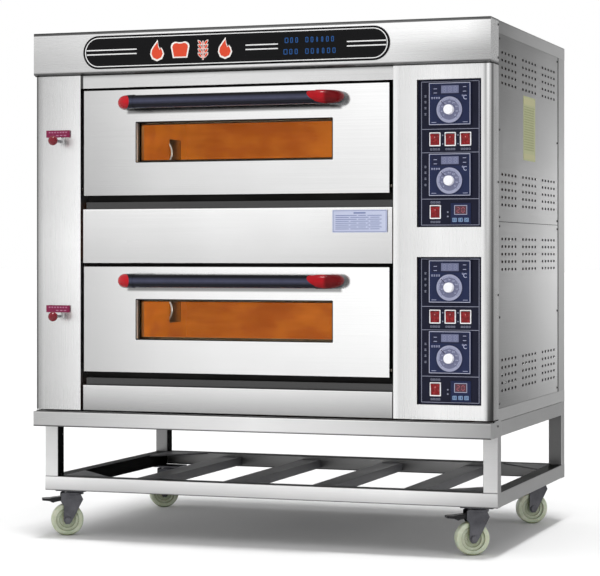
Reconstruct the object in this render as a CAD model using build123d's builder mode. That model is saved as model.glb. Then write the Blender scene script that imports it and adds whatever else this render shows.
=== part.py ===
"""Two-deck gas baking oven on a castor stand, as separate named sub-parts.

Millimetres. X runs to the right as seen from the front, Y from front to back, Z up.
The origin is on the floor, under the middle of the oven's overall box.
"""

import os
from math import cos, radians, sin

from build123d import *

os.makedirs("parts", exist_ok=True)

# ---- Driving dimensions -------------------------------------------------------------

WIDTH = 1330  # over the side panels
HEIGHT = 1432  # floor to roof
DEPTH = 911  # canopy face to back panel
CANOPY_Y = -438  # face of the canopy
SHEET = 1.5  # casing sheet

SIDE = WIDTH / 2
FRONT = CANOPY_Y + 15  # face of the columns, doors and fascias
BACK = CANOPY_Y + DEPTH
STRIP_Y = CANOPY_Y + 86  # where the front corner returns meet the side panels
REAR_RETURN_Y = CANOPY_Y + 820

# Stand
STAND_TOP = 363.5
TOP_RAIL_H = 41.5
RAIL_Z = 133  # underside of the lower rails
TUBE = 40
TUBE_WALL = 1.5
TUBE_R = 2.5
CAP_T = 2  # end caps of the lower rails
LEG_Y = CANOPY_Y + 75  # front face of the front legs
SLAT_PITCH = 267
SLAT_W = 62
SLAT_TOP = 163
GUSSET = 140

# Casing
CASE_Z = 369.5  # underside of the front panels
BAND_Z = 397  # top of the base tray's side flange
ROOF_FLANGE_Z = 1396
CANOPY_Z = 1316
LEFT_COLUMN_X = -525.5
CONTROL_COLUMN_X = 394
CORNER_R = 8
SIDE_SPLIT_Z = 895

# Decks
DECK_PITCH = 494
DECKS = {"lower": 478.5, "upper": 478.5 + DECK_PITCH}  # underside of each door
DOOR_X = -66
DOOR_W = 898
DOOR_H = 295
SKIN_D = 20
LINER_D = 22
PIVOT_UP = 18.5
PIN_R = 4
PIN_OUT = 9.5
EAR_GAP = 4
EAR_T = 4
WINDOW_W = 577
WINDOW_H = 111
WINDOW_UP = 92.5
GLASS_T = 5
HANDLE_UP = 256
HANDLE_SPAN = 621
HANDLE_OUT = 63.5
GRIP_R = 18.2
ELBOW_R = 19.5
BEND_R = 46  # of each elbow's centre line
CHAMBER_W = 860
CHAMBER_D = 660
CHAMBER_H = 222
DECK_UP = 52  # deck surface above the door's underside
WALL = 2
THROAT_Y = FRONT + 42.5

# Controls
CONTROL_X = 547.5
OPENING_W = 176
OPENING_H = 392
CONTROLS = {"lower": 409, "upper": 880}  # underside of each control opening
PLATE_Y = FRONT + 15  # face of the control plates, set back in their openings
CONTROLLER = (115, 113)
CONTROLLER_UP = {"bottom_heat": 139, "top_heat": 327}
CONTROLLER_PROUD = 8
DIAL_DROP = 16
DIAL_R = 35
KNOB_R = 13.5
ROCKER_PITCH = 42
ROCKER_UP = 233.5
BEZEL = (30.5, 37)
MAINS_ROCKER = (-41, 40.5)
TIMER = (55, 56)
TIMER_AT = (29, 36)
TIMER_KEY_PITCH = 16.2
TIMER_KEY_DROP = 17

# Damper controls
DAMPER_X = -589
DAMPER_UP = 154.5
ROD_R = 4
BALL_R = 13.5

# Castors
CASTOR_X = 600
CASTOR_YS = {"front": CANOPY_Y + 130, "rear": CANOPY_Y + 835}
CASTOR_HEADING = 210  # degrees from +X towards +Y, the way the wheels trail
TRAIL = 20
WHEEL_R = 46
WHEEL_W = 30
AXLE_R = 6
RUNNING = 0.05  # radial clearance of every shaft in its hole


# ---- Helpers ------------------------------------------------------------------------


def block(x, y, z, mode=Mode.ADD):
    """A box in the open part, given its span along each axis."""
    with Locations(((x[0] + x[1]) / 2, (y[0] + y[1]) / 2, (z[0] + z[1]) / 2)):
        Box(x[1] - x[0], y[1] - y[0], z[1] - z[0], mode=mode)


def panel(x, y, z):
    """One flat plate or bar, as a piece of its own."""
    with BuildPart() as piece:
        block(x, y, z)
    return piece


def tube(start, along, length, size=(TUBE, TUBE)):
    """A run of rectangular tube whose section is centred on its start point."""
    across = (0, 1, 0) if along == (1, 0, 0) else (1, 0, 0)
    with BuildPart() as piece:
        with BuildSketch(Plane(origin=start, x_dir=across, z_dir=along)):
            RectangleRounded(size[0], size[1], TUBE_R)
            Rectangle(size[0] - 2 * TUBE_WALL, size[1] - 2 * TUBE_WALL, mode=Mode.SUBTRACT)
        extrude(amount=length)
    return piece


def save(name, *pieces):
    """Label a sub-part and write it. Its pieces stay separate solids."""
    node = pieces[0].part
    if len(pieces) > 1:
        node = Compound([solid for piece in pieces for solid in piece.part.solids()])
    node.label = name
    export_step(node, f"parts/{name}.step")


def front_plane(x, y, z):
    """A plane that faces the front, with its own x along X and its own y along Z."""
    return Plane(origin=(x, y, z), x_dir=(1, 0, 0), z_dir=(0, -1, 0))


def side_plane(x):
    """A plane across the oven at x: its own x runs to the back and its own y up."""
    return Plane(origin=(x, 0, 0), x_dir=(0, 1, 0), z_dir=(1, 0, 0))


# ---- Stand --------------------------------------------------------------------------


def apron_plates():
    """The apron that stands out in front of the upper rail: face, shelf and two ends."""
    low = STAND_TOP - TOP_RAIL_H
    shelf_z = STAND_TOP - SHEET
    inner = (-SIDE + SHEET, SIDE - SHEET)
    behind = CANOPY_Y + SHEET
    with BuildPart() as face:
        block((-SIDE, SIDE), (CANOPY_Y, behind), (low, STAND_TOP))
        fillet(face.edges().filter_by(Axis.X).group_by(Axis.Y)[0], 1.2)
    return [
        face,
        panel(inner, (behind, LEG_Y), (shelf_z, STAND_TOP)),
        panel((-SIDE, inner[0]), (behind, LEG_Y), (low, STAND_TOP)),
        panel((inner[1], SIDE), (behind, LEG_Y), (low, STAND_TOP)),
    ]


def make_stand():
    """The welded tube frame: legs, upper and lower rails, their end caps and the apron."""
    inner = SIDE - TUBE
    leg_rows = (LEG_Y + TUBE / 2, BACK - TUBE / 2)
    pieces = []
    for y in leg_rows:
        for x in (-SIDE + TUBE / 2, SIDE - TUBE / 2):
            pieces.append(tube((x, y, RAIL_Z + TUBE), (0, 0, 1), STAND_TOP - RAIL_Z - TUBE))
        lower = (-SIDE + CAP_T, y, RAIL_Z + TUBE / 2)
        upper = (-inner, y, STAND_TOP - TOP_RAIL_H / 2)
        pieces.append(tube(lower, (1, 0, 0), WIDTH - 2 * CAP_T))
        for x in (-SIDE, SIDE - CAP_T):
            with BuildPart() as cap:
                with BuildSketch(side_plane(x)):
                    with Locations((y, RAIL_Z + TUBE / 2)):
                        RectangleRounded(TUBE, TUBE, TUBE_R)
                extrude(amount=CAP_T)
            pieces.append(cap)
        pieces.append(tube(upper, (1, 0, 0), 2 * inner, (TUBE, TOP_RAIL_H)))
    run = BACK - LEG_Y - 2 * TUBE
    for x in (-SIDE + TUBE / 2, SIDE - TUBE / 2):
        lower = (x, LEG_Y + TUBE, RAIL_Z + TUBE / 2)
        upper = (x, LEG_Y + TUBE, STAND_TOP - TOP_RAIL_H / 2)
        pieces.append(tube(lower, (0, 1, 0), run))
        pieces.append(tube(upper, (0, 1, 0), run, (TUBE, TOP_RAIL_H)))
    save("stand_frame", *pieces, *apron_plates())


def corner_gusset(x_sign, y, y_sign, z, thickness):
    """A triangular plate in one corner of the lower rails."""
    x = x_sign * (SIDE - TUBE)
    with BuildPart() as piece:
        with BuildSketch(Plane.XY.offset(z)):
            with BuildLine():
                Polyline((x, y), (x - x_sign * GUSSET, y), (x, y + y_sign * GUSSET), close=True)
            make_face()
        extrude(amount=thickness)
    return piece


def make_slats():
    """Four channel-section shelf bars across the lower rails, and the corner gussets."""
    y_span = (LEG_Y + TUBE, BACK - TUBE)
    pieces = []
    for place in (-1.5, -0.5, 0.5, 1.5):
        with BuildPart() as slat:
            with BuildSketch(Plane.XZ.offset(-y_span[0])):
                with Locations((place * SLAT_PITCH, SLAT_TOP - 12.5)):
                    Rectangle(SLAT_W, 25)
                with Locations((place * SLAT_PITCH, SLAT_TOP - 14)):
                    Rectangle(SLAT_W - 6, 25, mode=Mode.SUBTRACT)
            extrude(amount=y_span[0] - y_span[1])
        pieces.append(slat)
    for x_sign in (-1, 1):
        for y, y_sign in ((y_span[0], 1), (y_span[1], -1)):
            pieces.append(corner_gusset(x_sign, y, y_sign, RAIL_Z + TUBE - 4, 4))
    save("stand_slats", *pieces)


# ---- Castors ------------------------------------------------------------------------

PLATE_T = 5
RACE_Z = RAIL_Z - PLATE_T
FORK_TOP = 124
FORK_PLATE_T = 6
FORK_GAP = 18  # half the space between the fork's cheeks
CHEEK_T = 3
PEDAL_AT = (31, 107)


def castor_axes(x, y):
    """The castor's plan plane, and its side plane with its own x along the trail."""
    trail = (cos(radians(CASTOR_HEADING)), sin(radians(CASTOR_HEADING)), 0)
    plan = Plane(origin=(x, y, 0), x_dir=trail, z_dir=(0, 0, 1))
    side = Plane(origin=(x, y, 0), x_dir=trail, z_dir=(trail[1], -trail[0], 0))
    return plan, side


def make_castor_plates():
    """The four top plates, each with its upper ball race and kingpin."""
    pieces = []
    for x in (-CASTOR_X, CASTOR_X):
        for y in CASTOR_YS.values():
            plan, _ = castor_axes(x, y)
            square = Plane(origin=(x, y, RACE_Z))
            with BuildPart() as plate:
                with BuildSketch(square):
                    RectangleRounded(92, 66, 6)
                extrude(amount=PLATE_T)
                with BuildSketch(plan.offset(FORK_TOP + 0.3)):
                    Circle(21)
                extrude(amount=RACE_Z - FORK_TOP - 0.3)
                with BuildSketch(plan.offset(FORK_TOP - FORK_PLATE_T - 5)):
                    Circle(9)
                extrude(amount=4.7)
                with BuildSketch(plan.offset(FORK_TOP - FORK_PLATE_T - 5)):
                    Circle(5)
                extrude(amount=FORK_PLATE_T + 6)
            pieces.append(plate)
    save("castor_plates", *pieces)


def make_fork(name, x, y, braked):
    """A pressed swivel fork with its lower race, its axle bolt and, if braked, a pedal pin."""
    plan, side = castor_axes(x, y)
    with BuildPart() as fork:
        with BuildSketch(plan.offset(FORK_TOP - FORK_PLATE_T)):
            Circle(27)
            with Locations((6, 0)):
                Rectangle(42, 2 * (FORK_GAP + CHEEK_T))
        extrude(amount=FORK_PLATE_T)
        for cheek in (-1, 1):
            inner = side.offset(cheek * FORK_GAP)
            with BuildSketch(inner):
                with BuildLine():
                    Polyline(
                        (-15, FORK_TOP),
                        (-24, FORK_TOP - 20),
                        (TRAIL - 13, WHEEL_R - 2),
                        (TRAIL - 6, WHEEL_R - 12),
                        (TRAIL + 6, WHEEL_R - 12),
                        (TRAIL + 12, WHEEL_R - 2),
                        (TRAIL + 11, 86),
                        (39, 97),
                        (39, FORK_TOP - 3),
                        (34, FORK_TOP),
                        close=True,
                    )
                make_face()
            extrude(amount=cheek * CHEEK_T)
        with BuildSketch(plan.offset(FORK_TOP - FORK_PLATE_T)):
            Circle(5 + RUNNING)
        extrude(amount=FORK_PLATE_T, mode=Mode.SUBTRACT)
        with BuildSketch(side.offset(-FORK_GAP - CHEEK_T)):
            with Locations((TRAIL, WHEEL_R)):
                Circle(AXLE_R)
        extrude(amount=2 * (FORK_GAP + CHEEK_T))
        for cheek in (-1, 1):
            with BuildSketch(side.offset(cheek * (FORK_GAP + CHEEK_T))):
                with Locations((TRAIL, WHEEL_R)):
                    RegularPolygon(9, 6)
            extrude(amount=cheek * 5)
        if braked:
            with BuildSketch(side.offset(-FORK_GAP)):
                with Locations(PEDAL_AT):
                    Circle(3)
            extrude(amount=2 * FORK_GAP)
    save(name, fork)


def make_wheel(name, x, y):
    """A solid nylon wheel with a recessed web and a stepped hub."""
    _, side = castor_axes(x, y)
    with BuildPart() as wheel:
        with BuildSketch(side.offset(-WHEEL_W / 2)):
            with Locations((TRAIL, WHEEL_R)):
                Circle(WHEEL_R)
        extrude(amount=WHEEL_W)
        rims = wheel.edges().filter_by(GeomType.CIRCLE)
        fillet(rims, 5)
        for face in (-1, 1):
            with BuildSketch(side.offset(face * WHEEL_W / 2)):
                with Locations((TRAIL, WHEEL_R)):
                    Circle(33)
                    Circle(24, mode=Mode.SUBTRACT)
            extrude(amount=-face * 4, mode=Mode.SUBTRACT)
            with BuildSketch(side.offset(face * WHEEL_W / 2)):
                with Locations((TRAIL, WHEEL_R)):
                    Circle(24)
                    Circle(14, mode=Mode.SUBTRACT)
            extrude(amount=-face * 7, mode=Mode.SUBTRACT)
            with BuildSketch(side.offset(face * WHEEL_W / 2)):
                with Locations((TRAIL, WHEEL_R)):
                    Circle(12)
            extrude(amount=face * 1.5)
        with BuildSketch(side.offset(-WHEEL_W)):
            with Locations((TRAIL, WHEEL_R)):
                Circle(AXLE_R + RUNNING)
        extrude(amount=2 * WHEEL_W, mode=Mode.SUBTRACT)
    save(name, wheel)


def make_pedal(name, x, y):
    """The brake lever: a hub on the fork's cross pin, a tread plate and a lower finger."""
    plan, side = castor_axes(x, y)
    pivot_x, pivot_z = PEDAL_AT
    with BuildPart() as pedal:
        with BuildSketch(side.offset(-15)):
            with Locations(PEDAL_AT):
                Circle(7)
        extrude(amount=30)
        with BuildSketch(side.offset(-14)):
            with BuildLine():
                Polyline(
                    (pivot_x + 2, pivot_z + 6),
                    (62, pivot_z + 3),
                    (91, pivot_z - 2),
                    (92, pivot_z - 5),
                    (72, pivot_z - 7),
                    (62, pivot_z - 12),
                    (52, pivot_z - 9),
                    (pivot_x + 2, pivot_z - 6),
                    close=True,
                )
            make_face()
        extrude(amount=28)
        with BuildSketch(plan.offset(pivot_z + 1)):
            with BuildLine():
                Polyline((50, -20), (80, -20), (92, -12), (92, 12), (80, 20), (50, 20), close=True)
            make_face()
        extrude(amount=-5)
        with BuildSketch(side.offset(-16)):
            with Locations(PEDAL_AT):
                Circle(3 + RUNNING)
        extrude(amount=32, mode=Mode.SUBTRACT)
    save(name, pedal)


def make_castors():
    """Four swivel castors. The front pair have brake pedals."""
    make_castor_plates()
    for row, y in CASTOR_YS.items():
        for hand, x in (("left", -CASTOR_X), ("right", CASTOR_X)):
            make_fork(f"{row}_{hand}_castor_fork", x, y, row == "front")
            make_wheel(f"{row}_{hand}_castor_wheel", x, y)
            if row == "front":
                make_pedal(f"{row}_{hand}_brake_pedal", x, y)


# ---- Casing -------------------------------------------------------------------------

LOUVRE_W = 20
LOUVRE_H = 7
LOUVRE_PITCH_Y = 38
LOUVRE_PITCH_Z = 20.4
LOUVRE_COLUMNS = [CANOPY_Y + y for y in (206, 446.5, 692)]
LOUVRE_ROWS = (484, 808.5, 981.5, 1308)
FLUE_R = 50
FLUE_WALL = 1.5
FLUE_OUT = 28
GAS_PIPE_R = 13.2
GAS_PIPE_X = 480
GAS_PIPE_Z = 430
NIPPLE_GAP = 2
NIPPLE_L = 24
HEAD_R = 3.2
HEAD_H = 1.8
RETURN_RIVETS_Z = (700, 1000, 1330, 1418)
PANEL_RIVETS_Z = (410, 640, SIDE_SPLIT_Z - 12, SIDE_SPLIT_Z + 12, 1140, 1383)
BACK_RIVETS_X = (-640, -320, 0, 320, 640)


def make_base_tray():
    """The floor pan of the casing, with a flange up both sides and the back."""
    low = STAND_TOP
    with BuildPart() as tray:
        block((-SIDE, SIDE), (FRONT + 4, BACK), (low, BAND_Z))
        inside = (-SIDE + SHEET, SIDE - SHEET)
        block(inside, (FRONT, BACK - SHEET), (low + SHEET, BAND_Z), Mode.SUBTRACT)
        for x in (-SIDE, SIDE):
            block((x - SHEET, x + SHEET), (FRONT, STRIP_Y), (low + 3, BAND_Z), Mode.SUBTRACT)
    save("base_tray", tray)


def make_roof():
    """The roof sheet with its flanges turned down along both sides and the back."""
    with BuildPart() as roof:
        block((-SIDE, SIDE), (STRIP_Y, BACK), (ROOF_FLANGE_Z, HEIGHT))
        top_edges = roof.edges().filter_by(Axis.Y).group_by(Axis.Z)[-1]
        fillet(top_edges, 3)
        inside = (-SIDE + SHEET, SIDE - SHEET)
        block(inside, (STRIP_Y, BACK - SHEET), (ROOF_FLANGE_Z, HEIGHT - SHEET), Mode.SUBTRACT)
    save("roof_panel", roof)


def make_back():
    """The back sheet with both corner returns, flue and gas openings and slots."""
    with BuildPart() as back:
        block((-SIDE, SIDE), (REAR_RETURN_Y, BACK), (BAND_Z, ROOF_FLANGE_Z))
        corners = back.edges().filter_by(Axis.Z).group_by(Axis.Y)[-1]
        fillet(corners, 3)
        inside = (-SIDE + SHEET, SIDE - SHEET)
        block(inside, (REAR_RETURN_Y, BACK - SHEET), (BAND_Z, ROOF_FLANGE_Z), Mode.SUBTRACT)
        with BuildSketch(front_plane(0, BACK - 2 * SHEET, 0)):
            for floor in DECKS.values():
                with Locations((DAMPER_X, floor + DAMPER_UP)):
                    Circle(FLUE_R + 0.3)
            with Locations((GAS_PIPE_X, GAS_PIPE_Z)):
                Circle(GAS_PIPE_R + 1)
            for z in (620, 1180):
                with Locations((0, z)):
                    with GridLocations(60, 24, 9, 5):
                        SlotOverall(44, 7)
        extrude(amount=-3 * SHEET, mode=Mode.SUBTRACT)
    save("back_panel", back)


def make_side_panels():
    """Two slotted sheets on each side, upper and lower, inside the corner returns."""
    pieces = []
    spans = ((BAND_Z, SIDE_SPLIT_Z - 0.5), (SIDE_SPLIT_Z + 0.5, ROOF_FLANGE_Z))
    outer = SIDE - 1
    for x in (-outer, outer - SHEET):
        for low, high in spans:
            with BuildPart() as sheet:
                block((x, x + SHEET), (STRIP_Y, REAR_RETURN_Y), (low, high))
                with BuildSketch(side_plane(x - SHEET)):
                    for y in LOUVRE_COLUMNS:
                        for z in LOUVRE_ROWS:
                            if low < z < high:
                                with Locations((y, z)):
                                    with GridLocations(LOUVRE_PITCH_Y, LOUVRE_PITCH_Z, 5, 5):
                                        SlotOverall(LOUVRE_W, LOUVRE_H)
                extrude(amount=3 * SHEET, mode=Mode.SUBTRACT)
            pieces.append(sheet)
    save("side_panels", *pieces)


def make_canopy():
    """The front cap: a folded sheet with a rolled top edge, a lower lip and end cheeks."""
    with BuildPart() as canopy:
        with BuildSketch(side_plane(-SIDE)):
            with BuildLine():
                Polyline(
                    (CANOPY_Y, CANOPY_Z),
                    (CANOPY_Y, HEIGHT),
                    (STRIP_Y, HEIGHT),
                    (STRIP_Y, CANOPY_Z - 5),
                    (FRONT, CANOPY_Z - 5),
                    close=True,
                )
            outline = make_face()
            nose = outline.vertices().group_by(Axis.Z)[-1].sort_by(Axis.Y)[0]
            fillet(nose, 9)
        extrude(amount=WIDTH)
        ends = canopy.edges().filter_by(Axis.Z).group_by(Axis.Y)[0]
        fillet(ends, 3)
        with BuildSketch(side_plane(-SIDE + SHEET)):
            with BuildLine():
                Polyline(
                    (CANOPY_Y + SHEET, CANOPY_Z + 1),
                    (CANOPY_Y + SHEET, HEIGHT - 7),
                    (CANOPY_Y + 7, HEIGHT - SHEET),
                    (STRIP_Y + 1, HEIGHT - SHEET),
                    (STRIP_Y + 1, CANOPY_Z - 8),
                    (FRONT + SHEET, CANOPY_Z - 8),
                    (FRONT + SHEET, CANOPY_Z - 3.5),
                    close=True,
                )
            make_face()
        extrude(amount=WIDTH - 2 * SHEET, mode=Mode.SUBTRACT)
    save("front_canopy", canopy)


def make_sign():
    """The blank name board: a round-ended plate on the canopy's face."""
    with BuildPart() as sign:
        with BuildSketch(front_plane(-59.5, CANOPY_Y, 1372.5)):
            SlotOverall(899, 93)
        extrude(amount=2)
        chamfer(sign.faces().sort_by(Axis.Y)[0].edges(), 0.5)
    save("sign_plate", sign)


def column(x_inner, x_outer):
    """A corner column: a face with a rounded outer corner and a return down each side."""
    low_x, high_x = sorted((x_inner, x_outer))
    with BuildPart() as piece:
        block((low_x, high_x), (FRONT, STRIP_Y), (CASE_Z, CANOPY_Z - 5))
        outer_edge = piece.edges().filter_by(Axis.Z).group_by(Axis.Y)[0]
        outer_edge = outer_edge.sort_by(Axis.X)[0 if x_outer < 0 else -1]
        fillet(outer_edge, CORNER_R)
        inside_x = (low_x + SHEET, high_x - SHEET)
        inside_z = (CASE_Z - 1, CANOPY_Z)
        with BuildSketch(Plane.XY.offset(inside_z[0])):
            middle = ((inside_x[0] + inside_x[1]) / 2, (FRONT + SHEET + STRIP_Y + 20) / 2)
            with Locations(middle):
                RectangleRounded(inside_x[1] - inside_x[0], STRIP_Y + 20 - FRONT - SHEET, 6)
        extrude(amount=inside_z[1] - inside_z[0], mode=Mode.SUBTRACT)
    return piece


def make_left_column():
    """The left column, with a bushed hole for each damper rod."""
    shell = column(LEFT_COLUMN_X, -SIDE)
    with BuildPart() as left:
        add(shell.part)
        for floor in DECKS.values():
            with BuildSketch(front_plane(DAMPER_X, FRONT, floor + DAMPER_UP)):
                Circle(11)
            extrude(amount=4)
            with BuildSketch(front_plane(DAMPER_X, FRONT, floor + DAMPER_UP)):
                Circle(ROD_R + RUNNING)
            extrude(amount=10, both=True, mode=Mode.SUBTRACT)
    save("left_column", left)


def make_control_column():
    """The right column, with its two control openings."""
    shell = column(CONTROL_COLUMN_X, SIDE)
    with BuildPart() as right:
        add(shell.part)
        for floor in CONTROLS.values():
            x = (CONTROL_X - OPENING_W / 2, CONTROL_X + OPENING_W / 2)
            outer = ((x[0] - SHEET, x[1] + SHEET), (floor - SHEET, floor + OPENING_H + SHEET))
            block(outer[0], (FRONT + 0.5, PLATE_Y), outer[1])
            block(x, (FRONT - 1, PLATE_Y + 1), (floor, floor + OPENING_H), Mode.SUBTRACT)
    save("control_column", right)


def fascia(x, z, stepped):
    """A folded panel; a stepped one has a second fold set back above its top edge."""
    deep = 22
    step = 20 if stepped else 0
    with BuildPart() as piece:
        block(x, (FRONT, FRONT + deep), z)
        fillet(piece.edges().filter_by(Axis.X).group_by(Axis.Y)[0], 1.2)
        inside = (z[0] + SHEET, z[1] - SHEET)
        block(x, (FRONT + SHEET, FRONT + deep), inside, Mode.SUBTRACT)
        if stepped:
            block(x, (FRONT + deep - SHEET, FRONT + deep), (z[1] - SHEET, z[1] + step))
    return piece


def make_fascias():
    """The three panels between the columns: above, between and below the doors."""
    door_top = {deck: floor + DOOR_H for deck, floor in DECKS.items()}
    wide = (LEFT_COLUMN_X, CONTROL_COLUMN_X)
    between = (LEFT_COLUMN_X + 8.5, CONTROL_COLUMN_X - 3)
    gap = 38
    save(
        "front_fascias",
        fascia(wide, (door_top["upper"] + 6.5, CANOPY_Z - 5), False),
        fascia(between, (door_top["lower"] + 10, DECKS["upper"] - gap), True),
        fascia(between, (CASE_Z, DECKS["lower"] - gap), True),
    )


def pan_head(spot, facing):
    """One pan head standing on a surface that faces the given way."""
    with BuildPart() as head:
        with BuildSketch(Plane(origin=spot, z_dir=facing)):
            Circle(HEAD_R)
        extrude(amount=HEAD_H)
        crown = head.faces().sort_by(Axis((0, 0, 0), facing))[-1]
        fillet(crown.edges(), HEAD_H * 2 / 3)
    return head


def make_fasteners():
    """Pan-head rivets and screws: corner returns, side panels, roof, apron and back."""
    pieces = []
    for sign in (-1, 1):
        facing = (sign, 0, 0)
        spots = [(SIDE, STRIP_Y - 6, z) for z in RETURN_RIVETS_Z]
        spots.append((SIDE, STRIP_Y - 10, STAND_TOP - 12))
        for y in (STRIP_Y + 12, REAR_RETURN_Y - 12):
            spots += [(SIDE - 1, y, z) for z in PANEL_RIVETS_Z]
        pieces += [pan_head((sign * x, y, z), facing) for x, y, z in spots]
    for x in BACK_RIVETS_X:
        for z in (BAND_Z + 14, ROOF_FLANGE_Z - 14):
            pieces.append(pan_head((x, BACK, z), (0, 1, 0)))
    save("fasteners", *pieces)


# ---- Baking chambers and gas parts --------------------------------------------------


THROAT_LAP = 20  # how far a throat's plates reach above its door, behind the fascia


def throat_frame(floor):
    """The four plates round a chamber's mouth, behind the door."""
    y = (THROAT_Y, THROAT_Y + 3)
    x = (LEFT_COLUMN_X + 1, CONTROL_COLUMN_X - 1)
    mouth = (DOOR_X - CHAMBER_W / 2, DOOR_X + CHAMBER_W / 2)
    low, high = floor + DECK_UP, floor + DECK_UP + CHAMBER_H
    bottom, top = floor - 19, floor + DOOR_H + THROAT_LAP
    return [
        panel((x[0], mouth[0]), y, (low, high)),
        panel((mouth[1], x[1]), y, (low, high)),
        panel(x, y, (bottom, low)),
        panel(x, y, (high, top)),
    ]


def hinge_ears(floor):
    """The bored ears that carry a door's two pins."""
    ears = []
    for end in (-1, 1):
        near = DOOR_X + end * (DOOR_W / 2 + EAR_GAP)
        far = near + end * EAR_T
        with BuildPart() as ear:
            x = sorted((near, far))
            pin_y = FRONT + SKIN_D
            pin_z = floor + PIVOT_UP
            block(x, (pin_y, THROAT_Y), (pin_z - 9, pin_z + 9))
            with BuildSketch(side_plane(x[0])):
                with Locations((pin_y, pin_z)):
                    Circle(9)
            extrude(amount=EAR_T)
            with BuildSketch(side_plane(x[0])):
                with Locations((pin_y, pin_z)):
                    Circle(PIN_R + RUNNING)
            extrude(amount=EAR_T, mode=Mode.SUBTRACT)
        ears.append(ear)
    return ears


def chamber_walls(floor):
    """Deck plate, ceiling, two side walls and back wall of one chamber."""
    x = (DOOR_X - CHAMBER_W / 2, DOOR_X + CHAMBER_W / 2)
    y = (THROAT_Y + 3, THROAT_Y + 3 + CHAMBER_D)
    z = (floor + DECK_UP, floor + DECK_UP + CHAMBER_H)
    with BuildPart() as flue_side:
        block((x[0] - WALL, x[0]), y, z)
        with BuildSketch(side_plane(x[0] - WALL)):
            with Locations((y[1] - 90, floor + DAMPER_UP)):
                RectangleRounded(90, 70, 6)
        extrude(amount=WALL, mode=Mode.SUBTRACT)
    deck_t = 8
    wide = (x[0] - WALL, x[1] + WALL)
    return [
        flue_side,
        panel((x[1], x[1] + WALL), y, z),
        panel(wide, y, (z[0] - deck_t, z[0])),
        panel(wide, y, (z[1], z[1] + WALL)),
        panel(wide, (y[1], y[1] + WALL), (z[0] - deck_t, z[1] + WALL)),
    ]


def make_chambers():
    """Both baking chambers with their mouths and hinge ears."""
    pieces = []
    for floor in DECKS.values():
        pieces += throat_frame(floor)
        pieces += hinge_ears(floor)
        pieces += chamber_walls(floor)
    save("baking_chambers", *pieces)


def make_lamps():
    """Two bulkhead lamps in each chamber, high on the side walls near the mouth."""
    pieces = []
    reach = CHAMBER_W / 2
    for floor in DECKS.values():
        for end in (-1, 1):
            wall = Plane(
                origin=(DOOR_X + end * reach, THROAT_Y + 160, floor + DECK_UP + 150),
                z_dir=(-end, 0, 0),
            )
            with BuildPart() as lamp:
                with BuildSketch(wall):
                    Circle(30)
                extrude(amount=6)
                with BuildSketch(wall.offset(6)):
                    Circle(24)
                extrude(amount=16)
                fillet(lamp.faces().sort_by(Axis.X)[0 if end > 0 else -1].edges(), 10)
            pieces.append(lamp)
    save("chamber_lamps", *pieces)


BURNER_UP = DECK_UP - 34
MANIFOLD_R = 17


def make_gas_train():
    """Burner tubes under each deck, their manifold, the risers and the inlet pipe."""
    pieces = []
    y_front = THROAT_Y + 40
    manifold_y = THROAT_Y + CHAMBER_D + 60
    for floor in DECKS.values():
        z = floor + BURNER_UP
        with BuildPart() as burners:
            for x in (-330, -110, 110, 330):
                with BuildSketch(front_plane(DOOR_X + x, manifold_y, z)):
                    Circle(14)
                    Circle(12, mode=Mode.SUBTRACT)
                extrude(amount=manifold_y - y_front)
                with BuildSketch(Plane(origin=(DOOR_X + x, (y_front + manifold_y) / 2, z))):
                    with GridLocations(1, 44, 1, 12):
                        SlotOverall(12, 3, rotation=90)
                extrude(amount=16, mode=Mode.SUBTRACT)
            manifold_x = DOOR_X - 360
            with BuildSketch(Plane(origin=(manifold_x, manifold_y, z), z_dir=(1, 0, 0))):
                Circle(MANIFOLD_R)
            extrude(amount=GAS_PIPE_X + MANIFOLD_R - manifold_x)
        pieces.append(burners)
    riser_low = DECKS["lower"] + BURNER_UP + MANIFOLD_R
    riser_high = DECKS["upper"] + BURNER_UP - MANIFOLD_R
    with BuildPart() as riser:
        with BuildSketch(Plane(origin=(GAS_PIPE_X, manifold_y, riser_low))):
            Circle(13)
        extrude(amount=riser_high - riser_low)
        for z in (640, 860):
            block((GAS_PIPE_X - 24, GAS_PIPE_X + 24), (manifold_y - 30, manifold_y + 30), (z, z + 60))
            with BuildSketch(Plane(origin=(GAS_PIPE_X, manifold_y - 30, z + 30), z_dir=(0, -1, 0))):
                Circle(17)
            extrude(amount=34)
    pieces.append(riser)
    with BuildPart() as inlet:
        drop_top = DECKS["lower"] + BURNER_UP - MANIFOLD_R
        with BuildSketch(Plane(origin=(GAS_PIPE_X, manifold_y, drop_top))):
            Circle(GAS_PIPE_R - 2)
        extrude(amount=GAS_PIPE_Z - drop_top)
        with Locations((GAS_PIPE_X, manifold_y, GAS_PIPE_Z)):
            Sphere(18)
        with BuildSketch(Plane(origin=(GAS_PIPE_X, manifold_y, GAS_PIPE_Z), z_dir=(0, 1, 0))):
            Circle(GAS_PIPE_R - 2)
        extrude(amount=BACK + NIPPLE_GAP - manifold_y)
        nipple = Plane(origin=(GAS_PIPE_X, BACK + NIPPLE_GAP, GAS_PIPE_Z), z_dir=(0, 1, 0))
        with BuildSketch(nipple):
            Circle(GAS_PIPE_R)
        extrude(amount=NIPPLE_L)
        with BuildSketch(nipple.offset(NIPPLE_L)):
            Circle(9.5)
        extrude(amount=-NIPPLE_L + 4, mode=Mode.SUBTRACT)
    pieces.append(inlet)
    save("gas_train", *pieces)


FLUE_BOX = (DAMPER_X - 52, DOOR_X - CHAMBER_W / 2 - WALL)
FLUE_BOX_Y = (THROAT_Y + CHAMBER_D - 150, THROAT_Y + CHAMBER_D)


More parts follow.
